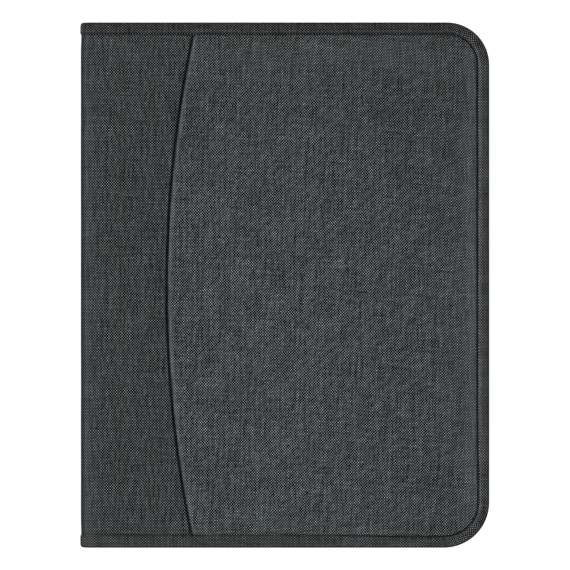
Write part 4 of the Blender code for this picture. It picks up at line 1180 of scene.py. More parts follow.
def front_columns(y, right):
    """Places across a row of the front cover, close together where it dips under the hem."""
    arc = arc_along(y) - HEM_GAP
    before = [arc - step for step in (0.0016, 0.0013, 0.0011, 0.0010, 0.0008, 0.0006, 0.0004, 0.0002, 0.0)]
    after = [arc + step for step in (0.0006, 0.0015, 0.0030, 0.0060, 0.0100)]
    lead = SPINE_COLUMNS + even_steps(0.0, before[0] - 0.002, 14)[1:]
    tail = columns(after[-1], right, (0.0, 0.004), NEAR_EDGE[::2], 0.010)[1:]
    return lead + before + after + tail


def back_columns(y, right):
    """Places across a row of the back cover."""
    return SPINE_COLUMNS + columns(0.0, right, (0.0, 0.002), NEAR_EDGE, 0.006)[1:]


def back_paint(along, y, inset, out_y):
    """The cloth is stretched even round the hinges, and painted shade darkens their outer side, where the
    cloth turns away from the light.
    """
    bend = fade(along, -0.016, 0.008) * (1 - fade(along, -0.004, 0.007))
    # Painted shade on the hinge's outer side, where the cloth turns away from the light
    outermost = fade(along, -0.014, 0.005) * (1 - fade(along, -0.0055, 0.003))
    return HINGE_EVENER * bend, -HINGE_PAINTED_SHADE * outermost


def front_paint(along, y, inset, out_y):
    """As the back, with painted shade where the cloth dips under the pocket's hem."""
    fold, shift = back_paint(along, y, inset, out_y)
    # Painted shade in the trough under the pocket's hem
    trough = fade(along - arc_along(y) + HEM_GAP, -TROUGH_ROLL * 0.7, 0.0006)
    return fold, shift - TROUGH_PAINTED_SHADE * trough


def pocket_paint(along, y, inset, out_y):
    """The pocket's panel is painted lighter than the cover, where it stands higher, and evener along its hem
    and the fore edge; painted shade darkens it by the groove and under the hem.
    """
    hem = 1 - fade(along - arc_along(y), 0.0020, 0.0012)
    fore = (1 - fade(inset, 0.0125, 0.006)) * (1 - abs(out_y)) if along > FORE_SIDE else 0.0
    middle = 1 - ((along - POCKET_MIDDLE) / POCKET_HALF_WIDTH) ** 2
    # Broad painted light and shade over the padded panel, lighter in the middle and darker towards the head,
    # partly the cloth's own uneven tone
    broad = POCKET_MIDDLE_LIGHT_AND_TONE * middle - POCKET_HEAD_SHADE_AND_TONE * fade(y, 0.02, 0.15)
    # Painted shade by the groove round the panel, deepest at the fore edge
    seam = 1 - fade(inside_groove(along, y, inset, out_y), 0.0001, 0.0007)
    # Painted shade on the hem's rounded edge, where it turns down under itself
    under = 1 - fade(along, arc_along(y), 0.0008)
    # Painted light: the pocket is lighter than the cover, where it stands higher; its hem and fore edge are
    # lighter, evener cloth
    lighter = POCKET_PAINTED_LIGHT + broad + HEM_LIGHTER * hem + FORE_LIGHTER * fore
    shift = lighter - seam * (SEAM_PAINTED_SHADE + FORE_SEAM_PAINTED_SHADE * fore) - UNDER_HEM_PAINTED_SHADE * under
    return max(HEM_EVENER * hem, FORE_EVENER * fore), shift


def cover_cloth(cover):
    """The padded outer cloth of one cover, with the half of the spine's cloth that belongs to it."""
    front = cover == "front"
    rows = panel_rows(PANEL_INSET)
    over, under, uv_rows, _ = cloth_grid(
        rows,
        front_columns if front else back_columns,
        front_rise if front else back_rise,
        lambda along, y: SKIN_THICKNESS,
        cover,
    )
    piece = finished(cover + "_cloth", layered_mesh(over, under, uv_rows), fabric, sharp=70)
    paint(piece, front_paint if front else back_paint)
    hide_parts(cover + "_outer_fabric", cover + "_hinge_fabric", "spine_outer_fabric")
    bend_with_hinge(piece, cover)


def pocket_grain(along, y):
    """The pocket's threads run a little askew and bow towards the fore edge."""
    x = HINGE_X + along
    return x - GRAIN_SKEW_X * y, y + GRAIN_SKEW_Y * x + GRAIN_BOW * x * x


def slip_pocket():
    """The front slip pocket: a panel that rolls into the groove on three sides and has a folded hem."""

    def rise_of(along, y):
        rise = edge_roll(along, y, POCKET_LESS_DEEP, POCKET_RISE) + padding("front", along, y)
        rise += swells["hem"](along, y)
        hem = along - arc_along(y)
        if hem < HEM_RADIUS:
            rise -= HEM_RADIUS * (1 - quarter_round(hem / HEM_RADIUS))
        return rise

    def thickness_of(along, y):
        hem = along - arc_along(y)
        inside = inside_groove(along, y, *edge_at(along, y))
        full = SKIN_THICKNESS + POCKET_FILL * smooth_step(inside / ROLL_WIDTH)
        if hem < HEM_RADIUS:
            full *= quarter_round(hem / HEM_RADIUS)
        return max(full, HAIRBREADTH)

    near_hem = (0.0, 0.00004, 0.00012, 0.00024, 0.00040, 0.00055, 0.0009, 0.0016, 0.003, 0.006, 0.010)
    rows = panel_rows(PANEL_INSET + 0.0001)
    over, under, uv_rows, area = cloth_grid(
        rows,
        lambda y, right: columns(arc_along(y), right, near_hem, NEAR_EDGE, 0.0035),
        rise_of,
        thickness_of,
        "front",
    )
    grain = [[pocket_grain(*place_on) for place_on in row] for row in uv_rows]
    piece = finished("slip_pocket", layered_mesh(over, under, grain), fabric, sharp=70)
    paint(piece, pocket_paint)
    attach(piece, "front_cover")
    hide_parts("front_pocket_sheet")


def band_profile(station):
    """The binding's section: a flat face, a round nose at the edge and a roll down into the groove."""
    along, y, _, out_y, travelled = station
    waver = wave(travelled, 0.7, size=0.016, amount=BAND_WAVER)
    width = BAND + BAND_END_EXTRA * out_y * out_y + band_extra(along, y, out_y) + waver
    plump = 0.00008 * (1 + wave(travelled, 5.3, size=0.02, amount=1.0))
    top = [
        (width, -0.00200),
        (width + 0.00003, -0.00110),
        (width - 0.00006, -0.00055),
        (width - 0.00030, -0.00020),
        (width - 0.00080, plump / 2),
        (width - 0.00200, plump),
        (width - 0.00360, plump / 2),
        (0.00210, 0.0),
        (0.00125, -0.00018),
        (0.00070, -0.00052),
        (0.00030, -0.00102),
        (0.00007, -0.00158),
    ]
    nose = [(0.0, -BAND_UNDERSIDE / 2)]
    under = [(inset, -BAND_UNDERSIDE - rise) for inset, rise in reversed(top[1:])]
    inner = [
        (width - 0.0001, -BAND_UNDERSIDE + BAND_THICKNESS),
        (0.0030, -BAND_UNDERSIDE + BAND_THICKNESS + 0.0002),
        (BAND_THICKNESS, -BAND_UNDERSIDE / 2),
        (0.0030, -BAND_THICKNESS - 0.0009),
    ]
    lift = spine_lift(along)
    return [(inset, rise + lift) for inset, rise in top + nose + under + inner]


def band_paint(along, y, inset, out_y):
    """A painted highlight on the fold towards the groove at the fore edge, and painted shade on the edge's
    shoulders and by the groove.
    """
    fore = (1 - abs(out_y)) if along > FORE_SIDE else 0.0
    inner = fade(inset, 0.0036, 0.0036)
    # Painted shade on the rim, where the binding's nose turns away from the light
    rim = (1 - fade(inset, 0.0004, 0.0010)) * fade(inset, 0.00003, 0.00025)
    # Painted shade by the groove at the binding's inner edge
    seam = fade(inset - BAND - band_extra(along, y, out_y), -0.0004, 0.0003)
    fold = max(BAND_FOLD_EVENER * inner * fore, BAND_RIM_EVENER * rim)
    # Painted highlight on the fold at the fore edge, less the painted shade on the rim and by the groove
    lift = BAND_FOLD_PAINTED_HIGHLIGHT * inner * inner * fore * (1 - seam) - BAND_RIM_PAINTED_SHADE * rim
    lift -= seam * (BAND_SEAM_PAINTED_SHADE + BAND_FORE_SEAM_PAINTED_SHADE * fore)
    face = fade(inset, 0.0002, 0.0010)
    head, foot = face * max(0.0, out_y), face * max(0.0, -out_y)
    tones = [1 + at_head * head + at_foot * foot for at_head, at_foot in BAND_TINTS]
    return fold, tuple((1 + lift) * tone - 1 for tone in tones)


def binding(cover):
    """The tape folded round a cover's free edges and the spine's ends, with its two rows of stitches."""
    stations = edge_stations(SPINE_MIDDLE)
    piece = finished(cover + "_band", swept(band_profile, stations, cover), tape, sharp=70)
    paint(piece, band_paint)
    end = {"front": "top", "back": "bottom"}[cover]
    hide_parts(cover + "_binding", "spine_binding_" + end)
    bend_with_hinge(piece, cover)
    inner_rise = -BAND_UNDERSIDE - HAIRBREADTH
    for name, rise, outside in (("outer", HAIRBREADTH, True), ("inner", inner_rise, False)):
        row = band_stitches(f"{cover}_band_{name}_stitches", rise, cover, outside)
        bend_with_hinge(row, cover)


# Side walls and zip


def wall_rise(from_middle):
    """The rise, below zero, of a place on the side wall at a distance from the middle of the depth."""
    return from_middle - MIDDLE


def gusset(cover):
    """The wall of cloth from the binding to the zip, with a folded edge at the zip."""

    def profile(station):
        bow = 0.00018 + wave(station[4], 9.1, size=0.03, amount=0.00012)
        face, back = WALL_INSET, WALL_INSET + WALL_THICKNESS
        edge = wall_rise(WALL_EDGE)
        return [
            (0.0030, -0.0027),
            (back, -0.0027),
            (back + 0.00005, wall_rise(WALL_EDGE + 0.006)),
            (back + 0.00020, wall_rise(WALL_EDGE + 0.0008)),
            (back, edge + 0.0002),
            (face + 0.0004, edge),
            (face + 0.0001, edge + 0.0002),
            (face - 0.00012, wall_rise(WALL_EDGE + 0.0009)),
            (face - 0.00010 - bow / 3, wall_rise(WALL_EDGE + 0.0030)),
            (face - bow, wall_rise(WALL_EDGE + 0.0060)),
            (face, -0.0046),
            (face - 0.0004, -0.0036),
            (0.0030, -0.0034),
        ]

    piece = finished(cover + "_wall", swept(profile, edge_stations(WALL_START), cover), fabric, sharp=60)
    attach(piece, cover + "_cover")
    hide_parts(cover + "_gusset")
    stations = edge_stations(WALL_START + 0.001)
    points, ups = wall_path(stations, WALL_INSET - 0.00022, WALL_EDGE + 0.0018, cover)
    row = stitch_line(cover + "_wall_stitches", points, ups, dark_thread)
    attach(row, cover + "_cover")


def wall_path(stations, inset, from_middle, cover):
    """Points and outward ways round the wall of a cover."""
    points = [at_station(station, inset, wall_rise(from_middle), cover) for station in stations]
    return points, [(station[2], station[3], 0.0) for station in stations]


def chain_stations(cover, step):
    """Places along one side's teeth. At the head the front's row begins beyond the parked slider."""
    stations = edge_stations(CHAIN_START, step)
    if cover == "back":
        return stations
    return [station for station in stations if station[0] > FRONT_CHAIN_TOP or station[3] < 1]


def zip_side(cover):
    """One side's tape and its row of teeth, which mesh with the other side's."""

    def profile(_):
        face, back = ZIP_TAPE_INSET, ZIP_TAPE_INSET + ZIP_TAPE_THICKNESS
        return [
            (face, wall_rise(WALL_EDGE + 0.0020)),
            (face, wall_rise(0.0038)),
            (face + 0.0001, wall_rise(0.0030)),
            (face + 0.0005, wall_rise(0.0030)),
            (back, wall_rise(0.0038)),
            (back, wall_rise(WALL_EDGE + 0.0020)),
        ]

    mesh = swept(profile, edge_stations(WALL_START + 0.0008), cover)
    piece = finished(cover + "_tape", mesh, zip_tape, sharp=60)
    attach(piece, cover + "_cover")
    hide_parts(cover + "_zip_tape")
    points, ups = wall_path(edge_stations(CHAIN_START), CHAIN_INSET, TOOTH_ROOT, cover)
    shift = 0.5 if cover == "front" else 0.0
    spots = []
    for point, way, k, t in spaced(points, TOOTH_PITCH, shift):
        along = way if cover == "front" else -way
        at_head = cover == "front" and point[1] > 0
        if point[0] - HINGE_X > (FRONT_CHAIN_TOP if at_head else CHAIN_START) + 0.0004:
            spots.append((point, along, Vector(ups[k]).lerp(Vector(ups[k + 1]), t)))
    sizes = (TOOTH_PITCH, TOOTH_ROOT + TOOTH_OVERLAP, TOOTH_HEIGHT)
    teeth = set_along(cover + "_teeth", spots, TOOTH, sizes, nylon)
    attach(teeth, cover + "_cover")
    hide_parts(cover + "_zip_teeth")
    cord = coil_cord(cover)
    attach(cord, cover + "_cover")


def coil_cord(cover):
    """The line of chain stitch that holds the teeth to the tape, as a flat ribbed cord over them."""

    def profile(station):
        swell = CORD_SWELL * math.sin(2 * math.pi * station[4] / TOOTH_PITCH)
        thick, wide, middle = CORD_THICK + swell, CORD_WIDE + swell, wall_rise(CORD_FROM_MIDDLE)
        turns = [2 * math.pi * i / 8 for i in range(8)]
        return [(CORD_INSET + thick * math.cos(turn), middle + wide * math.sin(turn)) for turn in turns]

    mesh = swept(profile, chain_stations(cover, TOOTH_PITCH / 4), cover)
    return finished(cover + "_coil_cord", mesh, zip_tape, sharp=80)


def round_block(low, high, radius, segments=3):
    """A block with round edges."""
    work = bmesh.new()
    bmesh.ops.create_cube(work, size=1.0)
    size = Vector(high) - Vector(low)
    bmesh.ops.scale(work, vec=size, verts=work.verts)
    bmesh.ops.translate(work, vec=(Vector(low) + Vector(high)) / 2, verts=work.verts)
    edges = list(work.edges)
    bmesh.ops.bevel(work, geom=edges, offset=radius, segments=segments, affect="EDGES", profile=0.5)
    mesh = bpy.data.meshes.new("block")
    work.to_mesh(mesh)
    work.free()
    return mesh


def box_uvs(mesh):
    """UVs in metres for a small piece: each face takes the two axes that it lies along."""
    layer = mesh.uv_layers.new(name="cloth")
    for face in mesh.polygons:
        skip = max(range(3), key=lambda axis: abs(face.normal[axis]))
        kept = [axis for axis in range(3) if axis != skip]
        for corner in face.loop_indices:
            spot = mesh.vertices[mesh.loops[corner].vertex_index].co
            layer.data[corner].uv = (spot[kept[0]], spot[kept[1]])
    return mesh


def zip_ends():
    """Stops at the ends of the teeth and the cloth caps that close the tape's ends."""
    for node in ("zip_top_stop", "zip_bottom_stop"):
        low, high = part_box(node)
        piece = finished(node + "_clip", round_block(low, high, 0.0003), gunmetal)
        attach(piece, "back_cover")
        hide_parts(node)
    for node in ("zip_end_cap_top", "zip_end_cap_bottom"):
        low, high = corners(node)
        piece = finished(node + "_cloth", box_uvs(round_block(low, high, 0.00035)), trim_cloth)
        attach(piece, "back_cover")
        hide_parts(node)
        out = 1 if low.y > 0 else -1
        y = (high.y if out > 0 else low.y) + out * 0.00004
        x = (low.x + high.x) / 2
        points = [(x, y, z) for z in even_steps(low.z + 0.0008, high.z - 0.0008, 8)]
        row = stitch_line(node + "_stitches", points, [(0, out, 0)] * len(points), dark_thread, END_CAP_PITCH)
        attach(row, "back_cover")


# Slider and pull


def joined_mesh(meshes):
    """Several meshes as one."""
    work = bmesh.new()
    for mesh in meshes:
        work.from_mesh(mesh)
        bpy.data.meshes.remove(mesh)
    whole = bpy.data.meshes.new("joined")
    work.to_mesh(whole)
    work.free()
    return whole


def cast(mesh, grain):
    """One casting from overlapping shapes: remeshed together and softened at its edges."""
    blank = bpy.data.objects.new("blank", mesh)
    bpy.context.scene.collection.objects.link(blank)
    remesh = blank.modifiers.new("remesh", "REMESH")
    remesh.mode = "VOXEL"
    remesh.voxel_size = grain
    soften = blank.modifiers.new("soften", "SMOOTH")
    soften.iterations = 4
    soften.factor = 0.5
    graph = bpy.context.evaluated_depsgraph_get()
    made = bpy.data.meshes.new_from_object(blank.evaluated_get(graph))
    bpy.data.objects.remove(blank)
    return made


def extruded(outline, low, high, to_point):
    """A closed plate from an outline of two coordinates, between two levels of the third."""
    return tube_mesh([[to_point(a, b, level) for a, b in outline] for level in (low, high)])


def rounded(points, radius, steps=5):
    """An outline's corners replaced by arcs."""
    count, outline = len(points), []
    for i in range(count):
        here = Vector(points[i])
        before, after = (Vector(points[(i + d) % count]) - here for d in (-1, 1))
        half = before.angle(after) / 2
        back = min(radius / math.tan(half), before.length * 0.45, after.length * 0.45)
        first, last = here + before.normalized() * back, here + after.normalized() * back
        for k in range(steps + 1):
            t = k / steps
            outline.append(tuple(first.lerp(here, t).lerp(here.lerp(last, t), t)))
    return outline


def slider():
    """The zip slider, as one casting: two plates, their flanges, the wedge between them and the bail."""
    low, high = corners("zip_slider")
    mid_x, half = (low.x + high.x) / 2, (high.x - low.x) / 2
    pull_y = joints["pull_swing"]["pos_m"][1]
    chain_y = HALF_HEIGHT - CHAIN_INSET
    wide = (high.z - low.z) / 2
    plate_in, plate_out = 0.0014, 0.0023

    def shell(a, c, o):
        return (mid_x + a, chain_y + o, MIDDLE + c)

    shield = rounded(
        [(-half, -wide * 0.62), (-half * 0.55, -wide), (half * 0.2, -wide), (half, -wide * 0.74),
         (half, wide * 0.74), (half * 0.2, wide), (-half * 0.55, wide), (-half, wide * 0.62),
         (-half * 0.86, 0)],
        0.0016,
    )
    parts = []
    for sign in (-1, 1):
        parts.append(extruded(shield, sign * plate_in, sign * plate_out, shell))
        for side in (-1, 1):
            rail = rounded(
                [(-half * 0.40, side * wide * 0.82), (half * 0.60, side * wide * 0.82),
                 (half * 0.60, side * wide * 0.88), (half * 0.22, side * wide), (-half * 0.52, side * wide)],
                0.00015,
            )
            parts.append(extruded(rail, sign * 0.00075, sign * (plate_in + 0.0002), shell))
    wedge = rounded([(-half, -0.0012), (-half * 0.35, 0), (-half, 0.0012)], 0.0003)
    parts.append(extruded(wedge, -plate_out + 0.0003, plate_out - 0.0003, shell))
    bail_top = high.y - chain_y
    opening = pull_y - chain_y + 0.0009
    foot, shoulder = plate_out - 0.0004, bail_top - 0.0012
    arch = [(-0.0040, foot), (-0.0038, shoulder), (-0.0026, bail_top), (0.0026, bail_top), (0.0038, shoulder),
            (0.0040, foot), (0.0026, foot), (0.0026, opening), (-0.0026, opening), (-0.0026, foot)]
    parts.append(extruded(arch, -0.0010, 0.0010, lambda a, o, c: shell(a, c, o)))
    piece = finished("zip_slider_casting", cast(joined_mesh(parts), 0.00013), gunmetal, sharp=180)
    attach(piece, "slider")
    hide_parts("zip_slider")


def flat_curve_plate(outlines, thickness, bevel, to_world):
    """A plate with round edges from a filled curve: the first outline is its rim, the others are holes."""
    curve = bpy.data.curves.new("plate", "CURVE")
    curve.dimensions = "2D"
    curve.fill_mode = "BOTH"
    curve.extrude = thickness / 2 - bevel
    curve.bevel_depth = bevel
    curve.bevel_resolution = 2
    curve.offset = -bevel
    for outline in outlines:
        spline = curve.splines.new("POLY")
        spline.points.add(len(outline) - 1)
        spline.use_cyclic_u = True
        for point, (a, b) in zip(spline.points, outline):
            point.co = (a, b, 0, 1)
    blank = bpy.data.objects.new("plate", curve)
    bpy.context.scene.collection.objects.link(blank)
    graph = bpy.context.evaluated_depsgraph_get()
    mesh = bpy.data.meshes.new_from_object(blank.evaluated_get(graph))
    bpy.data.objects.remove(blank)
    mesh.transform(to_world)
    return outward(mesh)


def circle(radius, centre=(0, 0)):
    """Points round a circle."""
    turns = [2 * math.pi * i / ROUND_STEPS for i in range(ROUND_STEPS)]
    return [(centre[0] + radius * math.cos(turn), centre[1] + radius * math.sin(turn)) for turn in turns]


def pull_tab():
    """The pull: a flat tab that widens to its end, with a window for the bail and a small eye."""
    low, high = corners("zip_pull")
    pivot = Vector(joints["pull_swing"]["pos_m"])
    half, end, bar = (high.z - low.z) / 2, high.x - pivot.x, (high.y - low.y) / 2
    rim = rounded(
        [(-bar, -half * 0.88), (0.006, -half * 0.88), (0.010, -half * 0.66), (end * 0.70, -half),
         (end, -half * 0.95), (end, half * 0.95), (end * 0.70, half), (0.010, half * 0.66),
         (0.006, half * 0.88), (-bar, half * 0.88)],
        0.0016,
    )
    window = rounded([(bar, -0.0015), (0.0055, -0.0015), (0.0055, 0.0015), (bar, 0.0015)], 0.0006)
    eye = circle(0.0013, (end - 0.0033, 0))
    turn = Matrix.Translation(pivot) @ Matrix(((1, 0, 0, 0), (0, 0, -1, 0), (0, 1, 0, 0), (0, 0, 0, 1)))
    plate = flat_curve_plate([rim, window, eye], 2 * bar, 0.0002, turn)
    piece = finished("zip_pull_tab", plate, gunmetal)
    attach(piece, "pull")
    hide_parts("zip_pull")
    ribs = []
    for side in (-1, 1):
        for x in even_steps(0.0125, 0.0215, 6):
            spot = pivot + Vector((x, side * bar, 0))
            ribs.append((spot, (0, 0, 1), (0, side, 0)))
    grip = set_along("zip_pull_ribs", ribs, STITCH, (0.0042, 0.0006, 0.0003), gunmetal)
    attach(grip, "pull")


# Inside: linings and pockets


def inner_lining(cover):
    """The smooth lining of one cover and of the spine's half next to it, where it reaches the binding."""
    inset = WALL_INSET + 0.00115
    rows = panel_rows(inset)
    wall, end = WALL_START - 0.0003, HALF_HEIGHT - SPINE_LINING_INSET
    foot, head = rows[0][0] - HAIRBREADTH, rows[-1][0] + HAIRBREADTH
    rows = [(-end, wall), (foot, wall), *rows, (head, wall), (end, wall)]

    def columns_of(y, right):
        places = columns(0.0, max(right, 0.1), (0.0, 0.002), NEAR_EDGE[::3], 0.008)
        return SPINE_COLUMNS + [along * right / places[-1] for along in places[1:]]

    over, under, uv_rows, _ = cloth_grid(
        rows,
        columns_of,
        lambda along, y: -LINING_FACE + LINING_THICKNESS,
        lambda along, y: LINING_THICKNESS + wave(along, y, 2.0, size=0.03, amount=LINING_WAVINESS),
        cover,
    )
    piece = finished(cover + "_inner_lining", layered_mesh(over, under, uv_rows), lining, sharp=70)
    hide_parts(cover + "_lining", cover + "_hinge_lining", "spine_lining")
    bend_with_hinge(piece, cover)


def inner_panel(node, cover, rows, columns_of, level, open_y, bulge):
    """A pocket sewn on three sides: it lies on the lining, swells a little and is open at the top."""
    left_of = {y: columns_of(y, right)[0] for y, right in rows}
    right_of = {y: columns_of(y, right)[-1] for y, right in rows}
    low_y = rows[0][0]

    def rise_of(along, y):
        side = min(along - left_of[y], right_of[y] - along, y - low_y)
        fullness = 0.6 + 0.4 * fade(y, low_y, open_y - low_y)
        return -level - HAIRBREADTH - bulge * smooth_step(side / 0.012) * fullness

    def thickness_of(along, y):
        return INNER_CLOTH_THICKNESS

    over, under, uv_rows, area = cloth_grid(rows, columns_of, rise_of, thickness_of, cover)
    piece = finished(node + "_cloth", layered_mesh(over, under, uv_rows), pocket_cloth, sharp=60)
    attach(piece, cover + "_cover")
    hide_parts(node)
    top_y, _ = rows[-1]
    edge = [place(a, top_y, rise_of(a, top_y) - 0.0002, cover) for a in columns_of(*rows[-1])]
    trim_strip(node + "_trim", edge, cover)
    outline = [(left_of[y] + INNER_SEAM, y) for y, _ in reversed(rows)]
    outline += [(along, low_y + INNER_SEAM) for along in columns_of(*rows[0])[1:-1]]
    outline += [(right_of[y] - INNER_SEAM, y) for y, _ in rows]
    outline = [(a, max(y, low_y + INNER_SEAM)) for a, y in outline]
    points = [place(a, y, -level - 0.00052, cover) for a, y in outline]
    out = -1 if cover == "front" else 1
    ups = [(0, 0, out)] * len(points)
    row = stitch_line(node + "_stitches", points, ups, grey_thread, INNER_POCKET_PITCH)
    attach(row, cover + "_cover")


def trim_strip(name, points, cover):
    """A folded tape that binds a pocket's open edge."""
    half, thick = TRIM_HALF_WIDTH, TRIM_HALF_THICKNESS
    section = rounded([(-half, -thick), (half * 0.2, -thick), (half * 0.2, thick), (-half, thick)], 0.0004, 3)
    rows = [[(x, y + a, z + b) for a, b in section] for x, y, z in points]
    reach = [0.0]
    for first, second in zip(points, points[1:]):
        reach.append(reach[-1] + math.dist(first, second))
    uv_rows = [[(u, 0.0003 * k) for k in range(len(section) + 1)] for u in reach]
    piece = finished(name, tube_mesh(rows, uv_rows), trim_cloth)
    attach(piece, cover + "_cover")
    out = -1 if cover == "front" else 1
    line = [(x, y - half * 0.72, z + out * (thick + HAIRBREADTH)) for x, y, z in points]
    row = stitch_line(name + "_stitches", line, [(0, 0, out)] * len(line), grey_thread, TRIM_PITCH)
    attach(row, cover + "_cover")


def inner_pockets():
    """The pockets on both linings, each in its CAD node's place."""
    near = (0.0, 0.001, 0.003, 0.007, 0.012)
    for node, cover in (("pad_sleeve", "back"), ("document_pocket", "front")):
        low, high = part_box(node)
        start = low[0] - HINGE_X
        inner_panel(
            node,
            cover,
            panel_rows(HALF_HEIGHT + low[1], high[1]),
            lambda y, right: columns(start, right, near, near, 0.010),
            LINING_FACE + 0.0003,
            high[1],
            0.0004,
        )
    for node in ("phone_pocket", "card_slot_1", "card_slot_2", "card_slot_3", "card_slot_4"):
        low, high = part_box(node)
        left, right = low[0] - HINGE_X, high[0] - HINGE_X
        inner_panel(
            node,
            "front",
            [(y, right) for y in even_steps(low[1], high[1], 14)],
            lambda y, end: columns(left, end, near[:4], near[:4], 0.014),
            CASE_DEPTH - high[2],
            high[1],
            0.00025,
        )


def pen_loops():
    """Elastic loops, each a band round its bore with its lower side flat on the lining."""
    for node in ("pen_loop_1", "pen_loop_2"):
        low, high = corners(node)
        centre, reach = (low + high) / 2, (high.x - low.x) / 2
        thick = 0.0010
        rows, uv_rows = [], []
        steps = 56
        for i in range(steps + 1):
            turn = 2 * math.pi * i / steps
            flat = 1 - 0.06 * smooth_step(math.sin(turn) * 3 - 1.6)
            ring = []
            for depth, y in rounded([(0, low.y), (thick, low.y), (thick, high.y), (0, high.y)], 0.0003, 3):
                radius = reach * flat - depth
                ring.append((centre.x + radius * math.cos(turn), y, centre.z + radius * math.sin(turn)))
            rows.append(ring)
            across = [0.0]
            for k in range(len(ring)):
                across.append(across[-1] + math.dist(ring[k], ring[(k + 1) % len(ring)]))
            uv_rows.append([(value, turn * reach) for value in across])
        mesh = tube_mesh(rows, uv_rows, ends=False)
        piece = finished(node + "_band", mesh, elastic, sharp=60)
        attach(piece, "front_cover")
        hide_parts(node)
        foot = centre.z + reach * 0.94 - thick - 0.0002
        points = [(centre.x, y, foot) for y in even_steps(low.y + 0.001, high.y - 0.001, 10)]
        ups = [(0, 0, -1)] * len(points)
        row = stitch_line(node + "_stitches", points, ups, black_thread, PEN_LOOP_PITCH)
        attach(row, "front_cover")


# Ring mechanism


def on_spine(lateral, height, y):
    """A place on the mechanism: lateral from the middle of the spine, height over its lining."""
    return (SPINE_LINING_X + height, y, MIDDLE + lateral)


def ring_wires(side, bank):
    """The four ring halves of one side: round wires from the closing point down into their blade."""
    first = math.asin(RING_TIP_GAP / 2 / RING_RADIUS)
    last = math.pi - math.asin(RING_END_LATERAL / RING_RADIUS)
    steps, sides = 44, 20
    meshes = []
    for y in RING_PLACES:
        rows = []
        for i in range(-1, steps + 1):
            t = max(0, i) / steps
            turn = first + (last - first) * t
            wire = RING_WIRE * (0.86 if i < 0 else 1.0)
            slip = 0.0002 / RING_RADIUS if i == 0 else 0.0
            ring = []
            for k in range(sides):
                around = 2 * math.pi * k / sides
                reach = RING_RADIUS + wire * math.cos(around)
                lateral = side * reach * math.sin(turn + slip)
                height = RING_MIDDLE_HEIGHT + reach * math.cos(turn + slip)
                ring.append(on_spine(lateral, height, y + wire * math.sin(around)))
            rows.append(ring)
        meshes.append(tube_mesh(rows))
    piece = finished(f"ring_wires_{bank}", joined_mesh(meshes), nickel, sharp=50)
    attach(piece, "ring_bank_" + bank)
    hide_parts(*(f"ring_{bank}_{i + 1}" for i in range(len(RING_PLACES))))


def housing():
    """The arched plate of the mechanism, pressed from sheet, with notches for the rings."""
    low, high = corners("ring_housing")
    half_width, half_length = (high.z - low.z) / 2, (high.y - low.y) / 2
    crown = high.x - SPINE_LINING_X
    crown_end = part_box("ring_blade_front")[1][1] - 0.0020

    def section(thin):
        half = half_width - thin
        top, shoulder = crown - thin, 0.0044 - thin * 0.4
        points = [(-half, HOUSING_LOW), (-half, shoulder - 0.0008)]
        for i in range(25):
            share = 2 * i / 24 - 1
            lateral = (half - 0.0009) * share
            points.append((lateral, top - (top - shoulder - 0.0006) * share * share))
        points += [(half, shoulder - 0.0008), (half, HOUSING_LOW)]
        return points

    profile = section(0) + section(HOUSING_SHEET)[::-1]
    shell = tube_mesh([[on_spine(a, h, y) for a, h in profile] for y in (-half_length, half_length)])
    cutters = []

    def cut_away(laterals, height, ys, radius, segments):
        (left, right), (foot, head) = sorted(laterals), sorted(ys)
        under, over = on_spine(left, height, foot), on_spine(right, HOUSING_CUT_TOP, head)
        cutters.append(round_block(under, over, radius, segments))

    for y in RING_PLACES:
        for side in (-1, 1):
            laterals = (side * NOTCH_NEAR, side * NOTCH_FAR)
            cut_away(laterals, 0.0034, (y - NOTCH_HALF_WIDTH, y + NOTCH_HALF_WIDTH), 0.0006, 4)
    for end in (-1, 1):
        beyond = end * (half_length + 0.003)
        cut_away((-0.0085, 0.0085), 0.0005, (end * crown_end, beyond), 0.0004, 2)
        cut_away((-0.0120, 0.0120), 0.0043, (end * (crown_end + 0.001), beyond), 0.0008, 3)
    mesh = cut(shell, joined_mesh(cutters))
    piece = finished("housing_plate", mesh, nickel, sharp=30)
    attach(piece, "spine")
    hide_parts("ring_housing")


def cut(mesh, tool_mesh):
    """The first mesh less the second."""
    blank = bpy.data.objects.new("blank", mesh)
    tool = bpy.data.objects.new("tool", tool_mesh)
    for item in (blank, tool):
        bpy.context.scene.collection.objects.link(item)
    modifier = blank.modifiers.new("cut", "BOOLEAN")
    modifier.operation = "DIFFERENCE"
    modifier.object = tool
    modifier.use_self = True
    graph = bpy.context.evaluated_depsgraph_get()
    made = bpy.data.meshes.new_from_object(blank.evaluated_get(graph))
    bpy.data.objects.remove(blank)
    bpy.data.objects.remove(tool)
    return made


def turned(profile, centre, axis_to_world):
    """A round piece from (distance along its axis, radius) points."""
    rows = []
    for along, radius in profile:
        spots = [axis_to_world @ Vector((along, a, b)) for a, b in circle(radius)]
        rows.append([Vector(centre) + spot for spot in spots])
    return tube_mesh(rows)


def rivets():
    """The two rivets of the mechanism, each with a dished head."""
    for name in ("top", "bottom"):
        node = "mounting_rivet_" + name
        low, high = corners(node)
        centre = ((low.x + high.x) / 2, (low.y + high.y) / 2, (low.z + high.z) / 2)
        tail, head = low.x - centre[0], high.x - centre[0]
        wide = (high.y - low.y) / 2
        profile = [
            (tail, 0.0024), (tail + 0.0004, 0.0033), (tail + 0.0008, 0.0033), (tail + 0.0008, 0.0020),
            (head - 0.0010, 0.0020), (head - 0.0010, wide), (head - 0.00065, wide),
            (head - 0.0003, wide * 0.90), (head - 0.00005, wide * 0.66), (head, wide * 0.36),
            (head - 0.0004, wide * 0.30), (head - 0.0006, wide * 0.05),
        ]
        piece = finished(node + "_turned", turned(profile, centre, Matrix.Identity(3)), nickel, sharp=40)
        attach(piece, "spine")
        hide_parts(node)


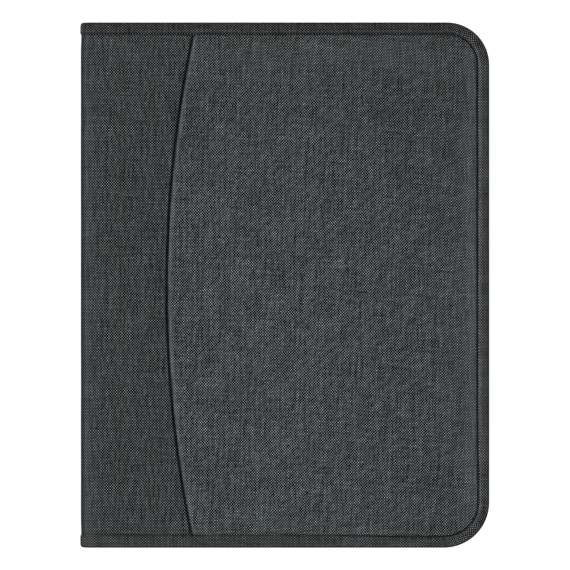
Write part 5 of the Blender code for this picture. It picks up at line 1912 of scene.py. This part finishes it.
def levers():
    """Opening levers: a bent pad for the finger, a barrel on its pin and the fork that lifts the blades."""
    across = Matrix(((0, 1, 0), (0, 0, 1), (1, 0, 0)))
    for end, name in ((1, "top"), (-1, "bottom")):
        node = "lever_" + name
        pivot = Vector(joints[node + "_turn"]["pos_m"])
        tall = Vector(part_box(node)[1]).x - pivot.x

        def spot(lateral, height, out):
            return (pivot.x + height, pivot.y + end * out, pivot.z + lateral)

        rows = []
        for i in range(21):
            share = i / 20
            height = tall * share
            half = 0.0068 - 0.0016 * fade(share, 0.72, 0.28) + 0.0006 * math.sin(math.pi * share)
            bend = 0.0011 * share * share
            thick = 0.0006 * (1 if share < 0.95 else 0.75)
            inner, outer = bend - thick, bend + thick
            ring = rounded([(-half, inner), (half, inner), (half, outer), (-half, outer)], 0.0004, 3)
            rows.append([spot(lateral, height, out) for lateral, out in ring])
        pad = tube_mesh(rows)
        barrel = turned(
            [(-0.0082, 0.0012), (-0.0082, 0.0017), (-0.0080, 0.0019),
             (0.0080, 0.0019), (0.0082, 0.0017), (0.0082, 0.0012)],
            pivot,
            across,
        )
        fork = []
        for level in (-0.0021, 0.0008):
            y0, y1 = sorted((pivot.y, pivot.y - end * 0.0076))
            under = (pivot.x + level, y0, pivot.z - 0.0012)
            over = (pivot.x + level + 0.0007, y1, pivot.z + 0.0012)
            fork.append(round_block(under, over, 0.00015, 2))
        curl = turned(
            [(-0.0050, 0.0004), (-0.0048, 0.0009), (0.0048, 0.0009), (0.0050, 0.0004)],
            (pivot.x + tall - 0.0010, pivot.y + end * 0.0013, pivot.z),
            across,
        )
        piece = finished(node + "_pressing", joined_mesh([pad, barrel, curl, *fork]), nickel, sharp=40)
        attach(piece, node)
        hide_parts(node)


def carried_over():
    """CAD nodes that keep their shape get their finish here."""
    finishes = {
        board_material: ("front_board", "back_board", "spine_board"),
        nickel: ("ring_blade_front", "ring_blade_back", "lever_pin_top", "lever_pin_bottom"),
    }
    for material, nodes in finishes.items():
        for node in nodes:
            for slot in frame["nodes"][node].material_slots:
                slot.material = material


# Floor, light and camera


def floor():
    """A white floor that keeps the case's shadow."""
    mesh = bpy.data.meshes.new("floor")
    reach = 6.0
    points = [(-reach, -reach, 0), (reach, -reach, 0), (reach, reach, 0), (-reach, reach, 0)]
    mesh.from_pydata(points, [], [(0, 1, 2, 3)])
    material, nodes, shader = new_material("white_floor")
    shader.inputs["Base Color"].default_value = (FLOOR_GREY, FLOOR_GREY, FLOOR_GREY, 1)
    shader.inputs["Roughness"].default_value = 0.9
    shader.inputs["Specular IOR Level"].default_value = 0.0
    shader.inputs["Emission Color"].default_value = (1, 1, 1, 1)
    nodes.feed(shader.inputs["Emission Strength"], nodes.maths("MULTIPLY", seen_white(nodes), FLOOR_GLOW))
    piece = finished("floor", mesh, material, smooth=False)
    piece.location.z = FLOOR_Z


def world():
    """Plain light from all round, white where it is seen."""
    made = bpy.data.worlds.new("studio")
    made.use_nodes = True
    nodes = Nodes(made.node_tree)
    back = made.node_tree.nodes["Background"]
    back.inputs["Color"].default_value = (1, 1, 1, 1)
    nodes.feed(back.inputs["Strength"], nodes.ramp(seen_white(nodes), 0.0, 1.0, WORLD_LEVEL, 1.0))
    bpy.context.scene.world = made


def lamp(name, spot, size, share):
    """A soft round lamp aimed at the case; share is how much of a plain light it gives a level surface."""
    light = bpy.data.lights.new(name, "AREA")
    light.shape = "DISK"
    light.size = size
    spot = Vector(spot)
    light.energy = share * math.pi**2 * spot.length**3 / spot.z
    made = bpy.data.objects.new(name, light)
    bpy.context.scene.collection.objects.link(made)
    made.location = spot
    made.rotation_euler = (-spot).to_track_quat("-Z", "Y").to_euler()


def lights():
    lamp("left_key", (-1.5, 0.1, 1.5), 0.9, 0.20)
    lamp("overhead_fill", (0.1, 0.1, 2.2), 1.0, 0.26)
    lamp("right_fill", (1.5, -0.7, 1.2), 0.9, 0.08)


def camera():
    """Straight above the front cover, from far off, as in the photograph."""
    data = bpy.data.cameras.new("camera")
    data.sensor_width = SENSOR_MM
    distance = CAMERA_HEIGHT - CASE_DEPTH
    data.lens = SENSOR_MM * distance / (PIXELS * METRES_PER_PIXEL)
    data.clip_end = 20
    made = bpy.data.objects.new("camera", data)
    bpy.context.scene.collection.objects.link(made)
    x = (PIXELS / 2 - PHOTO_MIDDLE_X) * METRES_PER_PIXEL
    y = (PHOTO_MIDDLE_Y - PIXELS / 2) * METRES_PER_PIXEL
    made.location = (x, y, CAMERA_HEIGHT)
    bpy.context.scene.camera = made


def main():
    camera()
    swells["front"] = swelled("front_padding", lambda y: 0.0, True, FRONT_SWELL)
    swells["back"] = swelled("back_padding", lambda y: 0.0, True, BACK_SWELL)
    swells["hem"] = swelled("pocket_padding", arc_along, False, HEM_SWELL)
    for cover in ("front", "back"):
        cover_cloth(cover)
        binding(cover)
        gusset(cover)
        inner_lining(cover)
    slip_pocket()
    zip_side("front")
    zip_side("back")
    zip_ends()
    slider()
    pull_tab()
    inner_pockets()
    pen_loops()
    ring_wires(1, "front")
    ring_wires(-1, "back")
    housing()
    rivets()
    levers()
    carried_over()
    for item in templates:
        bpy.data.objects.remove(item)
    floor()
    world()
    lights()
    bpy.context.scene.view_settings.view_transform = "Standard"


main()
